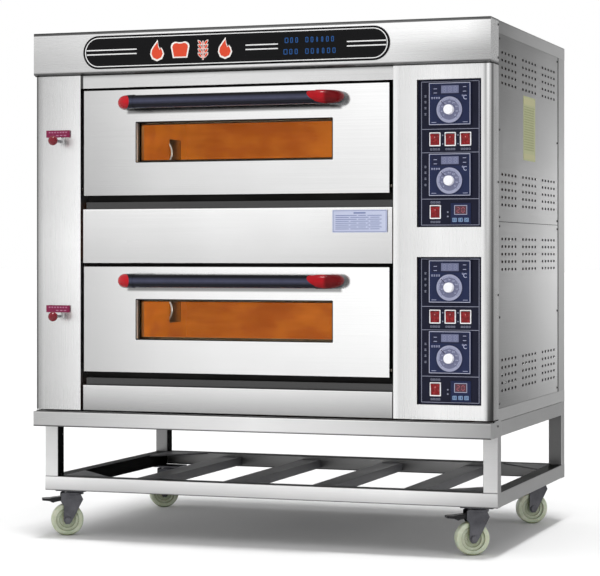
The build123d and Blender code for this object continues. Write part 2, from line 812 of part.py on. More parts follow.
def make_flues():
    """A box beside each chamber's side wall and the round duct from it to the back."""
    pieces = []
    for floor in DECKS.values():
        z = floor + DAMPER_UP
        rod_hole = front_plane(DAMPER_X, FLUE_BOX_Y[0] + WALL, z)
        with BuildPart() as box:
            block(FLUE_BOX, FLUE_BOX_Y, (z - 56, z + 56))
            inside = (FLUE_BOX[0] + WALL, FLUE_BOX[1] + 1)
            hollow = (FLUE_BOX_Y[0] + WALL, FLUE_BOX_Y[1] - WALL)
            block(inside, hollow, (z - 54, z + 54), Mode.SUBTRACT)
            with BuildSketch(rod_hole):
                Circle(ROD_R + RUNNING)
            extrude(amount=WALL, mode=Mode.SUBTRACT)
            with BuildSketch(front_plane(DAMPER_X, FLUE_BOX_Y[1], z)):
                Circle(FLUE_R)
            extrude(amount=WALL, mode=Mode.SUBTRACT)
        with BuildPart() as duct:
            with BuildSketch(front_plane(DAMPER_X, FLUE_BOX_Y[1] - WALL, z)):
                Circle(FLUE_R)
                Circle(FLUE_R - FLUE_WALL, mode=Mode.SUBTRACT)
            extrude(amount=FLUE_BOX_Y[1] - WALL - BACK - FLUE_OUT)
        pieces += [box, duct]
    save("exhaust_ducts", *pieces)


def make_damper(name, floor):
    """A pull rod with a ball knob in front and a round blade in the flue box."""
    z = floor + DAMPER_UP
    knob_y = FRONT - 46
    blade_y = FLUE_BOX_Y[1] - WALL - 6
    with BuildPart() as damper:
        with BuildSketch(front_plane(DAMPER_X, blade_y, z)):
            Circle(ROD_R)
        extrude(amount=blade_y - knob_y)
        with Locations((DAMPER_X, knob_y, z)):
            Sphere(BALL_R)
        with BuildSketch(front_plane(DAMPER_X, knob_y + 9, z)):
            Circle(8)
        extrude(amount=-8)
        with BuildSketch(front_plane(DAMPER_X, blade_y, z)):
            Circle(46)
        extrude(amount=2)
    save(name, damper)


# ---- Doors --------------------------------------------------------------------------


def door_skin(deck, floor):
    """The outer tray of a door, with a deep-set window reveal."""
    x = (DOOR_X - DOOR_W / 2, DOOR_X + DOOR_W / 2)
    z = (floor, floor + DOOR_H)
    window_x = (DOOR_X - WINDOW_W / 2, DOOR_X + WINDOW_W / 2)
    window_z = (floor + WINDOW_UP, floor + WINDOW_UP + WINDOW_H)
    frame_x = (window_x[0] - SHEET, window_x[1] + SHEET)
    frame_z = (window_z[0] - SHEET, window_z[1] + SHEET)
    with BuildPart() as skin:
        block(x, (FRONT, FRONT + SKIN_D), z)
        face_edges = skin.faces().sort_by(Axis.Y)[0].edges()
        fillet(face_edges, 1.2)
        inside_x = (x[0] + SHEET, x[1] - SHEET)
        inside_z = (z[0] + SHEET, z[1] - SHEET)
        block(inside_x, (FRONT + SHEET, FRONT + SKIN_D + 1), inside_z, Mode.SUBTRACT)
        block(frame_x, (FRONT + SHEET, FRONT + SKIN_D), frame_z)
        block(window_x, (FRONT - 1, FRONT + SKIN_D + 1), window_z, Mode.SUBTRACT)
    save(f"{deck}_door_skin", skin)


def door_liner(deck, floor):
    """The inner tray of a door, closed against the skin, and the two hinge pins."""
    x = (DOOR_X - DOOR_W / 2 + 8, DOOR_X + DOOR_W / 2 - 8)
    z = (floor + PIVOT_UP + 8, floor + DOOR_H - 5)
    y = (FRONT + SKIN_D, FRONT + SKIN_D + LINER_D)
    window_x = (DOOR_X - WINDOW_W / 2 + 6, DOOR_X + WINDOW_W / 2 - 6)
    window_z = (floor + WINDOW_UP + 6, floor + WINDOW_UP + WINDOW_H - 6)
    pane_back = y[0] + GLASS_T
    frame_x = (window_x[0] - SHEET, window_x[1] + SHEET)
    frame_z = (window_z[0] - SHEET, window_z[1] + SHEET)
    with BuildPart() as liner:
        block(x, y, z)
        inside = ((x[0] + SHEET, x[1] - SHEET), (z[0] + SHEET, z[1] - SHEET))
        block(inside[0], (y[0] - 1, y[1] - SHEET), inside[1], Mode.SUBTRACT)
        block(frame_x, (pane_back, y[1]), frame_z)
        block(window_x, (pane_back - 1, y[1] + 1), window_z, Mode.SUBTRACT)
    pieces = [liner]
    for end in (-1, 1):
        outer = DOOR_X + end * (DOOR_W / 2 + PIN_OUT)
        with BuildPart() as pin:
            with BuildSketch(side_plane(DOOR_X + end * DOOR_W / 2)):
                with Locations((FRONT + SKIN_D, floor + PIVOT_UP)):
                    Circle(PIN_R)
            extrude(amount=outer - (DOOR_X + end * DOOR_W / 2))
        pieces.append(pin)
    save(f"{deck}_door_liner", *pieces)


def door_glass(deck, floor):
    """The window pane, held between skin and liner."""
    lap = 9
    x = (DOOR_X - WINDOW_W / 2 - lap, DOOR_X + WINDOW_W / 2 + lap)
    z = (floor + WINDOW_UP - lap, floor + WINDOW_UP + WINDOW_H + lap)
    with BuildPart() as pane:
        block(x, (FRONT + SKIN_D, FRONT + SKIN_D + GLASS_T), z)
        fillet(pane.edges().filter_by(Axis.Y), 6)
        chamfer(pane.faces().sort_by(Axis.Y)[0].edges(), 0.6)
    save(f"{deck}_door_glass", pane)


def door_handle(deck, floor):
    """The straight grip tube and the two elbows that carry it on the door."""
    z = floor + HANDLE_UP
    y = FRONT - HANDLE_OUT
    half = HANDLE_SPAN / 2
    elbows = []
    for end in (-1, 1):
        foot = DOOR_X + end * half
        with BuildPart() as elbow:
            with BuildLine():
                rise = Line((foot, FRONT, z), (foot, y + BEND_R, z))
                corner = (foot - end * BEND_R, y + BEND_R, z)
                TangentArc(rise @ 1, (corner[0], y, z), tangent=(0, -1, 0))
            with BuildSketch(front_plane(foot, FRONT, z)):
                Circle(ELBOW_R)
            sweep()
        elbows.append(elbow)
    save(f"{deck}_handle_elbows", *elbows)
    with BuildPart() as grip:
        start = DOOR_X - half + BEND_R
        with BuildSketch(Plane(origin=(start, y, z), z_dir=(1, 0, 0))):
            Circle(GRIP_R)
            Circle(GRIP_R - SHEET, mode=Mode.SUBTRACT)
        extrude(amount=2 * (half - BEND_R))
    save(f"{deck}_handle_grip", grip)


def make_doors():
    """Both drop-down doors."""
    for deck, floor in DECKS.items():
        door_skin(deck, floor)
        door_liner(deck, floor)
        door_glass(deck, floor)
        door_handle(deck, floor)


# ---- Controls -----------------------------------------------------------------------

ROCKER = (24.6, 30.6)
BEZEL_PROUD = 2.5
ROCKER_TILT = 8
SHAFT_R = 3
KEY = (12.5, 11)
KEY_PROUD = 1.6
KEY_TRAVEL = 1.2


def rocker_spots(floor):
    """Where the four rocker switches of one control plate sit, with their names."""
    row = ("light", "ignition", "buzzer")
    spots = {}
    for place, name in zip((-1, 0, 1), row):
        spots[name] = (CONTROL_X + place * ROCKER_PITCH, floor + ROCKER_UP)
    spots["mains"] = (CONTROL_X + MAINS_ROCKER[0], floor + MAINS_ROCKER[1])
    return spots


def controller_spots(floor):
    """The centres of the two temperature controllers of one control plate."""
    return {heat: (CONTROL_X, floor + up) for heat, up in CONTROLLER_UP.items()}


def timer_centre(floor):
    return (CONTROL_X + TIMER_AT[0], floor + TIMER_AT[1])


def key_spots(floor):
    """The three push keys under a timer's display."""
    x, z = timer_centre(floor)
    names = ("left", "middle", "right")
    keys = zip((-1, 0, 1), names)
    return {name: (x + place * TIMER_KEY_PITCH, z - TIMER_KEY_DROP) for place, name in keys}


def make_control_plates():
    """The two control plates behind the column's openings, cut out for the instruments."""
    pieces = []
    for floor in CONTROLS.values():
        centre_z = floor + OPENING_H / 2
        with BuildPart() as plate:
            with BuildSketch(front_plane(0, PLATE_Y + 2, 0)):
                with Locations((CONTROL_X, centre_z)):
                    Rectangle(OPENING_W + 16, OPENING_H + 16)
                with Locations(*controller_spots(floor).values()):
                    Rectangle(CONTROLLER[0] - 8, CONTROLLER[1] - 8, mode=Mode.SUBTRACT)
                with Locations(*rocker_spots(floor).values()):
                    Rectangle(BEZEL[0] - 3, BEZEL[1] - 3, mode=Mode.SUBTRACT)
                with Locations(timer_centre(floor)):
                    Rectangle(TIMER[0] - 3, TIMER[1] - 3, mode=Mode.SUBTRACT)
            extrude(amount=2)
        pieces.append(plate)
    save("control_plates", *pieces)


def instrument(centre, face, proud, body, depth, bores):
    """A panel instrument: a bezel in front of the plate and a body through it."""
    with BuildPart() as piece:
        with BuildSketch(front_plane(centre[0], PLATE_Y, centre[1])):
            RectangleRounded(face[0], face[1], 1.5)
        extrude(amount=proud)
        chamfer(piece.faces().sort_by(Axis.Y)[0].edges(), 1)
        with BuildSketch(front_plane(centre[0], PLATE_Y, centre[1])):
            Rectangle(body[0], body[1])
        extrude(amount=-depth)
        for spot, sketch_size, deep in bores:
            with BuildSketch(front_plane(spot[0], PLATE_Y - proud, spot[1])):
                if isinstance(sketch_size, tuple):
                    Rectangle(*sketch_size)
                else:
                    Circle(sketch_size)
            extrude(amount=-deep, mode=Mode.SUBTRACT)
    return piece


def make_instruments():
    """Four temperature controllers and two timers, bored for dial shafts and keys."""
    pieces = []
    body = (CONTROLLER[0] - 8.4, CONTROLLER[1] - 8.4)
    timer_body = (TIMER[0] - 3.4, TIMER[1] - 3.4)
    key_hole = (KEY[0] + 0.6, KEY[1] + 0.6)
    for floor in CONTROLS.values():
        for x, z in controller_spots(floor).values():
            bores = [((x, z - DIAL_DROP), SHAFT_R + RUNNING, 22)]
            pieces.append(instrument((x, z), CONTROLLER, CONTROLLER_PROUD, body, 60, bores))
        bores = [(spot, key_hole, 8) for spot in key_spots(floor).values()]
        pieces.append(instrument(timer_centre(floor), TIMER, 3, timer_body, 40, bores))
    save("instrument_housings", *pieces)


def make_dial(name, centre):
    """A setting dial: a thin clear disc, a turned knob with a pointer rib, and a shaft."""
    x, z = centre
    face = front_plane(x, PLATE_Y - CONTROLLER_PROUD - 1.2, z)
    with BuildPart() as dial:
        with BuildSketch(face):
            Circle(DIAL_R)
        extrude(amount=2.2)
        with BuildSketch(face.offset(2.2)):
            Circle(KNOB_R)
        extrude(amount=14, taper=3)
        fillet(dial.faces().sort_by(Axis.Y)[0].edges(), 1.8)
        with BuildSketch(face.offset(2.2)):
            with Locations((-(DIAL_R + KNOB_R) / 2 * 0.72, (DIAL_R + KNOB_R) / 2 * 0.72)):
                Rectangle(DIAL_R - KNOB_R - 4, 1.6, rotation=-45)
        extrude(amount=0.6)
        with BuildSketch(face):
            Circle(SHAFT_R)
        extrude(amount=-20)
    save(name, dial)


def make_bezels():
    """The eight switch frames, each with its sleeve behind the plate."""
    pieces = []
    hollow = (ROCKER[0] + 0.8, ROCKER[1] + 0.8)
    for floor in CONTROLS.values():
        for x, z in rocker_spots(floor).values():
            with BuildPart() as bezel:
                with BuildSketch(front_plane(x, PLATE_Y, z)):
                    RectangleRounded(BEZEL[0], BEZEL[1], 2)
                extrude(amount=BEZEL_PROUD)
                chamfer(bezel.faces().sort_by(Axis.Y)[0].edges(), 0.6)
                with BuildSketch(front_plane(x, PLATE_Y, z)):
                    Rectangle(BEZEL[0] - 3.2, BEZEL[1] - 3.2)
                extrude(amount=-18)
                with BuildSketch(front_plane(x, PLATE_Y - BEZEL_PROUD, z)):
                    Rectangle(*hollow)
                extrude(amount=-18, mode=Mode.SUBTRACT)
            pieces.append(bezel)
    save("switch_bezels", *pieces)


def make_rocker(name, centre):
    """A rocker with two sloping treads, at rest with its lower tread pressed."""
    x, z = centre
    pivot = (PLATE_Y + 4, z)
    half = ROCKER[1] / 2 - 0.6
    tilt = radians(ROCKER_TILT)

    def turned(back, up):
        """A point of the rocker's profile, tipped about its pivot."""
        return (
            pivot[0] + back * cos(tilt) - up * sin(tilt),
            pivot[1] + back * sin(tilt) + up * cos(tilt),
        )

    with BuildPart() as rocker:
        with BuildSketch(side_plane(x - ROCKER[0] / 2)):
            with BuildLine():
                Polyline(
                    turned(-7.5, half),
                    turned(-5.2, 0),
                    turned(-7.5, -half),
                    turned(-1, -half),
                    turned(6, -6),
                    turned(6, 6),
                    turned(-1, half),
                    close=True,
                )
            make_face()
        extrude(amount=ROCKER[0])
        fillet(rocker.edges().filter_by(Axis.X).group_by(Axis.Y)[0], 0.8)
    save(name, rocker)


def make_key(name, centre):
    """A push key standing proud of its timer, free to travel inwards."""
    x, z = centre
    with BuildPart() as key:
        with BuildSketch(front_plane(x, PLATE_Y + 1.5, z)):
            RectangleRounded(KEY[0], KEY[1], 1.5)
        extrude(amount=4.5 + KEY_PROUD)
        chamfer(key.faces().sort_by(Axis.Y)[0].edges(), 0.4)
    save(name, key)


def make_controls():
    """Everything that a hand turns or presses on the two control plates."""
    make_control_plates()
    make_instruments()
    make_bezels()
    for deck, floor in CONTROLS.items():
        for heat, (x, z) in controller_spots(floor).items():
            make_dial(f"{deck}_{heat}_dial", (x, z - DIAL_DROP))
        for name, spot in rocker_spots(floor).items():
            make_rocker(f"{deck}_{name}_rocker", spot)
        for name, spot in key_spots(floor).items():
            make_key(f"{deck}_timer_{name}_key", spot)


# ---- The whole oven -----------------------------------------------------------------


def main():
    make_stand()
    make_slats()
    make_castors()
    make_base_tray()
    make_roof()
    make_back()
    make_side_panels()
    make_canopy()
    make_sign()
    make_left_column()
    make_control_column()
    make_fascias()
    make_fasteners()
    make_chambers()
    make_lamps()
    make_gas_train()
    make_flues()
    for deck, floor in DECKS.items():
        make_damper(f"{deck}_damper_knob", floor)
    make_doors()
    make_controls()


main()
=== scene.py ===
"""Looks of the two-deck gas baking oven: finishes, printed marks, trim, lights and camera.

Metres, in the row frame: X to the right seen from the front, Y to the back, Z up.
"""

import math

import bmesh
import bpy
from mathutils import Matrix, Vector


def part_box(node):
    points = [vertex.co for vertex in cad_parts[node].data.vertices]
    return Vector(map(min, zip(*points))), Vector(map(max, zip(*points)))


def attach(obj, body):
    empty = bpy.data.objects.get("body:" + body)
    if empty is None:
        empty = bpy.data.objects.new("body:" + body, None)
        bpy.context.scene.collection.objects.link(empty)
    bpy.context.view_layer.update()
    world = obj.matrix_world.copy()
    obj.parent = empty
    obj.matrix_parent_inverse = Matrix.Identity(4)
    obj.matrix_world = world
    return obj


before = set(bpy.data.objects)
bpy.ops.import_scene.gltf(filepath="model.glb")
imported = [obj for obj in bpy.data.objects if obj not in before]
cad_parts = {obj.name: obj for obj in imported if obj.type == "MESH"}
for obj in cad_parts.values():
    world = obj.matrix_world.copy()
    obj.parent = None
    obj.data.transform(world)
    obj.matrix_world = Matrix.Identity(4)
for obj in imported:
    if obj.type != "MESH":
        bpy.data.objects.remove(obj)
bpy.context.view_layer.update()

MM = 0.001
DECKS = ("lower", "upper")
PROUD = 0.25 * MM  # how far printed marks stand off their surface


def hex_colour(code):
    """A linear RGBA colour from its usual six hexadecimal digits."""
    values = [int(code[i : i + 2], 16) / 255 for i in (0, 2, 4)]
    linear = [v / 12.92 if v <= 0.04045 else ((v + 0.055) / 1.055) ** 2.4 for v in values]
    return (*linear, 1.0)


# ---- Materials ----------------------------------------------------------------------


class Graph:
    """A material's nodes, with short calls for the few kinds used here."""

    def __init__(self, name, **sockets):
        self.material = bpy.data.materials.new(name)
        self.material.use_nodes = True
        self.tree = self.material.node_tree
        self.shader = self.tree.nodes["Principled BSDF"]
        for socket, value in sockets.items():
            self.shader.inputs[socket.replace("_", " ")].default_value = value
        self.place = self.add("TexCoord").outputs["Object"]

    def add(self, kind, **settings):
        node = self.tree.nodes.new("ShaderNode" + kind)
        for name, value in settings.items():
            setattr(node, name, value)
        return node

    def feed(self, value, socket):
        """Link an output, or set a constant, on an input socket."""
        if isinstance(value, bpy.types.NodeSocket):
            self.tree.links.new(value, socket)
        else:
            socket.default_value = value

    def math(self, operation, a, b=0.0):
        node = self.add("Math", operation=operation)
        for value, socket in zip((a, b), node.inputs):
            self.feed(value, socket)
        return node.outputs[0]

    def times(self, a, b):
        return self.math("MULTIPLY", a, b)

    def along(self, direction):
        """Distance along a direction, in metres."""
        node = self.add("VectorMath", operation="DOT_PRODUCT")
        self.feed(self.place, node.inputs[0])
        node.inputs[1].default_value = direction
        return node.outputs["Value"]

    def noise(self, scale, detail=2.0, rough=0.5):
        """Noise whose frequency is given per metre along each axis."""
        stretch = self.add("Mapping")
        self.feed(self.place, stretch.inputs["Vector"])
        stretch.inputs["Scale"].default_value = scale
        node = self.add("TexNoise")
        self.feed(stretch.outputs[0], node.inputs["Vector"])
        node.inputs["Scale"].default_value = 1.0
        node.inputs["Detail"].default_value = detail
        node.inputs["Roughness"].default_value = rough
        return node.outputs["Fac"]

    def ramp(self, value, low, high, to_low, to_high, kind="LINEAR"):
        """Map a value from one span to another in a straight line, held at the ends."""
        node = self.add("MapRange", interpolation_type=kind)
        for item, socket in zip((value, low, high, to_low, to_high), node.inputs):
            self.feed(item, socket)
        return node.outputs[0]

    def span(self, value, low, high, to_low, to_high):
        """The same, easing in and out."""
        return self.ramp(value, low, high, to_low, to_high, "SMOOTHSTEP")

    def profile(self, value, stops, shares):
        """A curve through the given shares at the given positions."""
        top = max(shares)
        ramp = self.add("ValToRGB")
        elements = ramp.color_ramp.elements
        while len(elements) < len(stops):
            elements.new(0.5)
        run = stops[-1] - stops[0]
        for element, stop, share in zip(elements, stops, shares):
            element.position = (stop - stops[0]) / run
            element.color = (share / top, share / top, share / top, 1.0)
        self.feed(self.ramp(value, stops[0], stops[-1], 0.0, 1.0), ramp.inputs[0])
        return self.times(ramp.outputs[0], top)

    def blend(self, share, a, b):
        """Between two numbers."""
        node = self.add("Mix", data_type="FLOAT")
        for value, socket in zip((share, a, b), (node.inputs[0], node.inputs[2], node.inputs[3])):
            self.feed(value, socket)
        return node.outputs[0]

    def facing(self, direction, low=0.5, high=0.75):
        """1 where the surface faces a direction, 0 where it is square to it or faces away."""
        node = self.add("VectorMath", operation="DOT_PRODUCT")
        self.feed(self.add("TexCoord").outputs["Normal"], node.inputs[0])
        node.inputs[1].default_value = direction
        return self.span(node.outputs["Value"], low, high, 0.0, 1.0)

    def sideways(self):
        """1 where the surface faces left or right."""
        return self.math("MAXIMUM", self.facing((1, 0, 0)), self.facing((-1, 0, 0)))

    def mix(self, share, a, b):
        node = self.add("Mix", data_type="RGBA")
        self.feed(share, node.inputs[0])
        self.feed(a, node.inputs[6])
        self.feed(b, node.inputs[7])
        return node.outputs[2]

    def scaled(self, colour, value):
        node = self.add("VectorMath", operation="SCALE")
        self.feed(colour if isinstance(colour, bpy.types.NodeSocket) else colour[:3], node.inputs[0])
        self.feed(value, node.inputs["Scale"])
        return node.outputs[0]

    def corner_shade(self, reach, low=0.25, high=0.9):
        """Mask for painted shade: 0 in tight corners, 1 in the open."""
        node = self.add("AmbientOcclusion", samples=4, only_local=False)
        node.inputs["Distance"].default_value = reach
        return self.span(node.outputs["AO"], low, high, 0.0, 1.0)

    def relief(self, height, distance, strength=1.0, edge=0.0):
        """Bump on the shader's normal, over edges rounded by the given radius."""
        node = self.add("Bump")
        node.inputs["Strength"].default_value = strength
        node.inputs["Distance"].default_value = distance
        self.feed(height, node.inputs["Height"])
        if edge:
            rounded = self.add("Bevel", samples=4)
            rounded.inputs["Radius"].default_value = edge
            self.feed(rounded.outputs[0], node.inputs["Normal"])
        self.feed(node.outputs[0], self.shader.inputs["Normal"])

    def colour(self, value):
        self.feed(value, self.shader.inputs["Base Color"])

    def roughness(self, value):
        self.feed(value, self.shader.inputs["Roughness"])


ALONG_X = (2.0, 300.0, 800.0)
ALONG_Y = (300.0, 2.0, 800.0)
ALONG_Z = (800.0, 300.0, 2.0)


def sheet_steel(name, code, rough, grain, shade=None):
    """Brushed stainless sheet; shade, where given, is painted light and shade: the share of its colour left
    by the room around it, set into its colour and its specular tint.
    """
    g = Graph(name, Metallic=1.0)
    brush = g.noise(grain, detail=3.0)
    smudge = g.noise((5.0, 5.0, 7.0), detail=3.0)
    value = g.ramp(brush, 0.25, 0.75, 0.965, 1.03)
    cloudy = g.span(smudge, 0.3, 0.7, 0.985, 1.012)
    value = g.times(value, cloudy)
    if shade:
        # painted light and shade: the sheet's bright and dark gradients
        value = g.times(value, shade(g))
    tone = g.scaled(hex_colour(code), value)
    g.colour(tone)
    # the painted light and shade tint the gloss as well
    g.feed(tone, g.shader.inputs["Specular Tint"])
    streaks = g.ramp(brush, 0.3, 0.7, rough * 0.85, rough * 1.2)
    g.roughness(g.math("ADD", streaks, g.span(smudge, 0.45, 0.8, 0.0, 0.04)))
    g.relief(brush, 0.012 * MM, strength=0.5, edge=0.8 * MM)
    return g.material


def moulded(name, code, rough, shine=0.5, speck=0.06, grain=900.0):
    """Moulded or painted plastic: fine texture, faint mottling, soft wear in the gloss."""
    g = Graph(name, Specular_IOR_Level=shine)
    fine = g.noise((grain, grain, grain), detail=2.0)
    broad = g.noise((22.0, 22.0, 22.0), detail=3.0)
    value = g.span(broad, 0.3, 0.7, 1.0 - speck, 1.0 + speck)
    g.colour(g.scaled(hex_colour(code), value))
    g.roughness(g.span(fine, 0.3, 0.7, rough * 0.9, rough * 1.15))
    g.relief(fine, 0.02 * MM, strength=0.35)
    return g.material


def printed(name, code, rough):
    """Screen-printed ink with a slightly uneven coverage."""
    g = Graph(name, Specular_IOR_Level=0.2)
    cover = g.noise((1500.0, 1500.0, 1500.0), detail=1.0)
    g.colour(g.scaled(hex_colour(code), g.span(cover, 0.3, 0.7, 0.92, 1.04)))
    g.roughness(g.span(cover, 0.3, 0.7, rough * 0.9, rough * 1.1))
    return g.material


def chamber_steel():
    """Heat-tinted lining lit amber by the lamps and by a painted amber glow, its own emission, inside the
    chambers; painted near-black shade outside them.
    """
    g = Graph("chamber_steel", Metallic=0.3, Specular_IOR_Level=0.2)
    blotch = g.noise((9.0, 9.0, 14.0), detail=4.0)
    streak = g.noise((3.0, 3.0, 90.0), detail=3.0)
    from_middle = g.math("ABSOLUTE", g.math("ADD", g.along((1, 0, 0)), 66 * MM))
    beside = g.ramp(from_middle, 0.4302, 0.4306, 1.0, 0.0)
    behind = g.ramp(g.along((0, 1, 0)), -0.3772, -0.3765, 0.0, 1.0)
    inside = g.times(beside, behind)
    up = g.along((0, 0, 1))
    above = g.math("GREATER_THAN", up, 0.753)
    between = g.times(above, g.math("LESS_THAN", up, 1.024))
    inside = g.times(inside, g.math("SUBTRACT", 1.0, between))
    inside = g.times(inside, g.math("GREATER_THAN", up, 0.53))
    inside = g.times(inside, g.math("LESS_THAN", up, 1.247))
    tint = g.mix(g.span(blotch, 0.35, 0.65, 0.0, 1.0), hex_colour("7d5426"), hex_colour("9a6f36"))
    # painted near-black shade outside the chambers
    tint = g.mix(inside, hex_colour("141312"), tint)
    g.colour(g.scaled(tint, g.span(streak, 0.3, 0.7, 0.9, 1.06)))
    g.roughness(g.span(blotch, 0.3, 0.7, 0.42, 0.6))
    # painted amber glow: emission on the lining inside the chambers
    amber = g.mix(g.span(blotch, 0.3, 0.7, 0.0, 1.0), hex_colour("c9680a"), hex_colour("e58a1c"))
    g.feed(amber, g.shader.inputs["Emission Color"])
    g.feed(g.times(inside, 0.36), g.shader.inputs["Emission Strength"])
    g.relief(streak, 0.05 * MM, strength=0.4)
    return g.material


def zinc_plate():
    """Grey zinc-plated pressings, with painted shade in their corners and darker towards the top."""
    g = Graph("zinc_steel", Metallic=1.0)
    broad = g.noise((25.0, 25.0, 25.0), detail=3.0)
    fine = g.noise((700.0, 700.0, 700.0))
    tint = g.mix(g.span(broad, 0.3, 0.7, 0.0, 1.0), hex_colour("4a4a4e"), hex_colour("5e5e62"))
    # painted shade in the corners
    tint = g.scaled(tint, g.span(g.corner_shade(0.012), 0.0, 1.0, 0.45, 1.0))
    g.colour(g.scaled(tint, g.span(g.along((0, 0, 1)), 0.05, 0.12, 1.0, 0.8)))
    g.roughness(g.span(fine, 0.3, 0.7, 0.26, 0.36))
    g.relief(fine, 0.02 * MM, strength=0.3, edge=0.8 * MM)
    return g.material


def dark_paint(name, code, rough=0.5):
    """Dark enamel over steel, thin and greyer along its streaks."""
    g = Graph(name, Metallic=0.0, Specular_IOR_Level=0.2)
    streak = g.noise((12.0, 3.0, 40.0), detail=5.0, rough=0.65)
    fine = g.noise((900.0, 900.0, 900.0))
    g.colour(g.scaled(hex_colour(code), g.span(streak, 0.3, 0.72, 0.75, 1.35)))
    g.roughness(g.span(streak, 0.3, 0.7, rough * 0.85, rough * 1.15))
    g.relief(fine, 0.04 * MM, strength=0.4, edge=0.8 * MM)
    return g.material


def nylon():
    """Pale green cast nylon: waxy, mottled, with painted olive shade where it is recessed."""
    g = Graph("wheel_nylon", Subsurface_Weight=0.12, Subsurface_Scale=0.01)
    mottle = g.noise((70.0, 70.0, 70.0), detail=4.0)
    light = g.mix(g.span(mottle, 0.3, 0.7, 0.0, 1.0), hex_colour("b3bb9f"), hex_colour("c6ccb8"))
    # painted olive shade in the recesses
    g.colour(g.mix(g.corner_shade(0.014, 0.35, 0.95), hex_colour("69714c"), light))
    g.roughness(g.span(mottle, 0.3, 0.7, 0.34, 0.46))
    g.relief(mottle, 0.1 * MM, strength=0.25, edge=1.2 * MM)
    return g.material


def window_glass():
    """Clear toughened glass with faint wipe marks."""
    g = Graph("window_glass", Transmission_Weight=1.0, IOR=1.18)
    wipe = g.noise((8.0, 8.0, 30.0), detail=3.0)
    tint = g.mix(g.span(wipe, 0.3, 0.7, 0.0, 1.0), hex_colour("f3ead6"), hex_colour("fbf4e6"))
    g.colour(tint)
    g.roughness(g.span(wipe, 0.45, 0.75, 0.0, 0.03))
    return g.material


def lamp_glass():
    """The frosted amber dome of a chamber lamp, lit from inside."""
    g = Graph("lamp_glass")
    frost = g.noise((500.0, 500.0, 500.0))
    g.colour(g.scaled(hex_colour("ffd9a0"), g.span(frost, 0.3, 0.7, 0.95, 1.03)))
    g.roughness(g.span(frost, 0.3, 0.7, 0.3, 0.45))
    g.feed(hex_colour("ffb455"), g.shader.inputs["Emission Color"])
    g.shader.inputs["Emission Strength"].default_value = 6.0
    return g.material


def cast_iron():
    """Black iron pipe and valve bodies, with cast grain and brass-dark wear."""
    g = Graph("gas_pipe", Metallic=0.7)
    cast = g.noise((400.0, 400.0, 400.0), detail=4.0)
    broad = g.noise((30.0, 30.0, 30.0), detail=4.0)
    g.colour(g.mix(g.span(broad, 0.35, 0.7, 0.0, 1.0), hex_colour("242323"), hex_colour("3d3833")))
    g.roughness(g.span(cast, 0.3, 0.7, 0.45, 0.65))
    g.relief(cast, 0.15 * MM, strength=0.5, edge=1.0 * MM)
    return g.material


def galvanised():
    """Galvanised duct with crystalline spangle, and a painted amber glow, in a brown tint and emission, on
    its part ahead of about y 0.31 m and right of about x -0.525 m.
    """
    g = Graph("galvanised_steel", Metallic=1.0)
    cells = g.add("TexVoronoi")
    stretch = g.add("Mapping")
    g.feed(g.place, stretch.inputs["Vector"])
    stretch.inputs["Scale"].default_value = (90.0, 90.0, 90.0)
    g.feed(stretch.outputs[0], cells.inputs["Vector"])
    cells.inputs["Scale"].default_value = 1.0
    value = g.span(cells.outputs["Distance"], 0.1, 0.8, 0.85, 1.08)
    # painted amber glow in colour and emission
    painted_glow = g.times(g.span(g.along((0, 1, 0)), 0.29, 0.33, 1.0, 0.0),
                   g.span(g.along((1, 0, 0)), -0.54, -0.51, 0.0, 1.0))
    g.colour(g.scaled(g.mix(painted_glow, hex_colour("b3b6b8"), hex_colour("8a6230")), value))
    g.feed(hex_colour("d7790f"), g.shader.inputs["Emission Color"])
    g.feed(g.times(painted_glow, 0.3), g.shader.inputs["Emission Strength"])
    g.roughness(g.span(cells.outputs["Distance"], 0.1, 0.8, 0.3, 0.48))
    g.relief(cells.outputs["Distance"], 0.03 * MM, strength=0.3, edge=0.6 * MM)
    return g.material


RED = hex_colour("a5101b")
NAVY = hex_colour("07080f")
# colour of the handles' painted highlight band
PAINTED_SHEEN = hex_colour("434559")


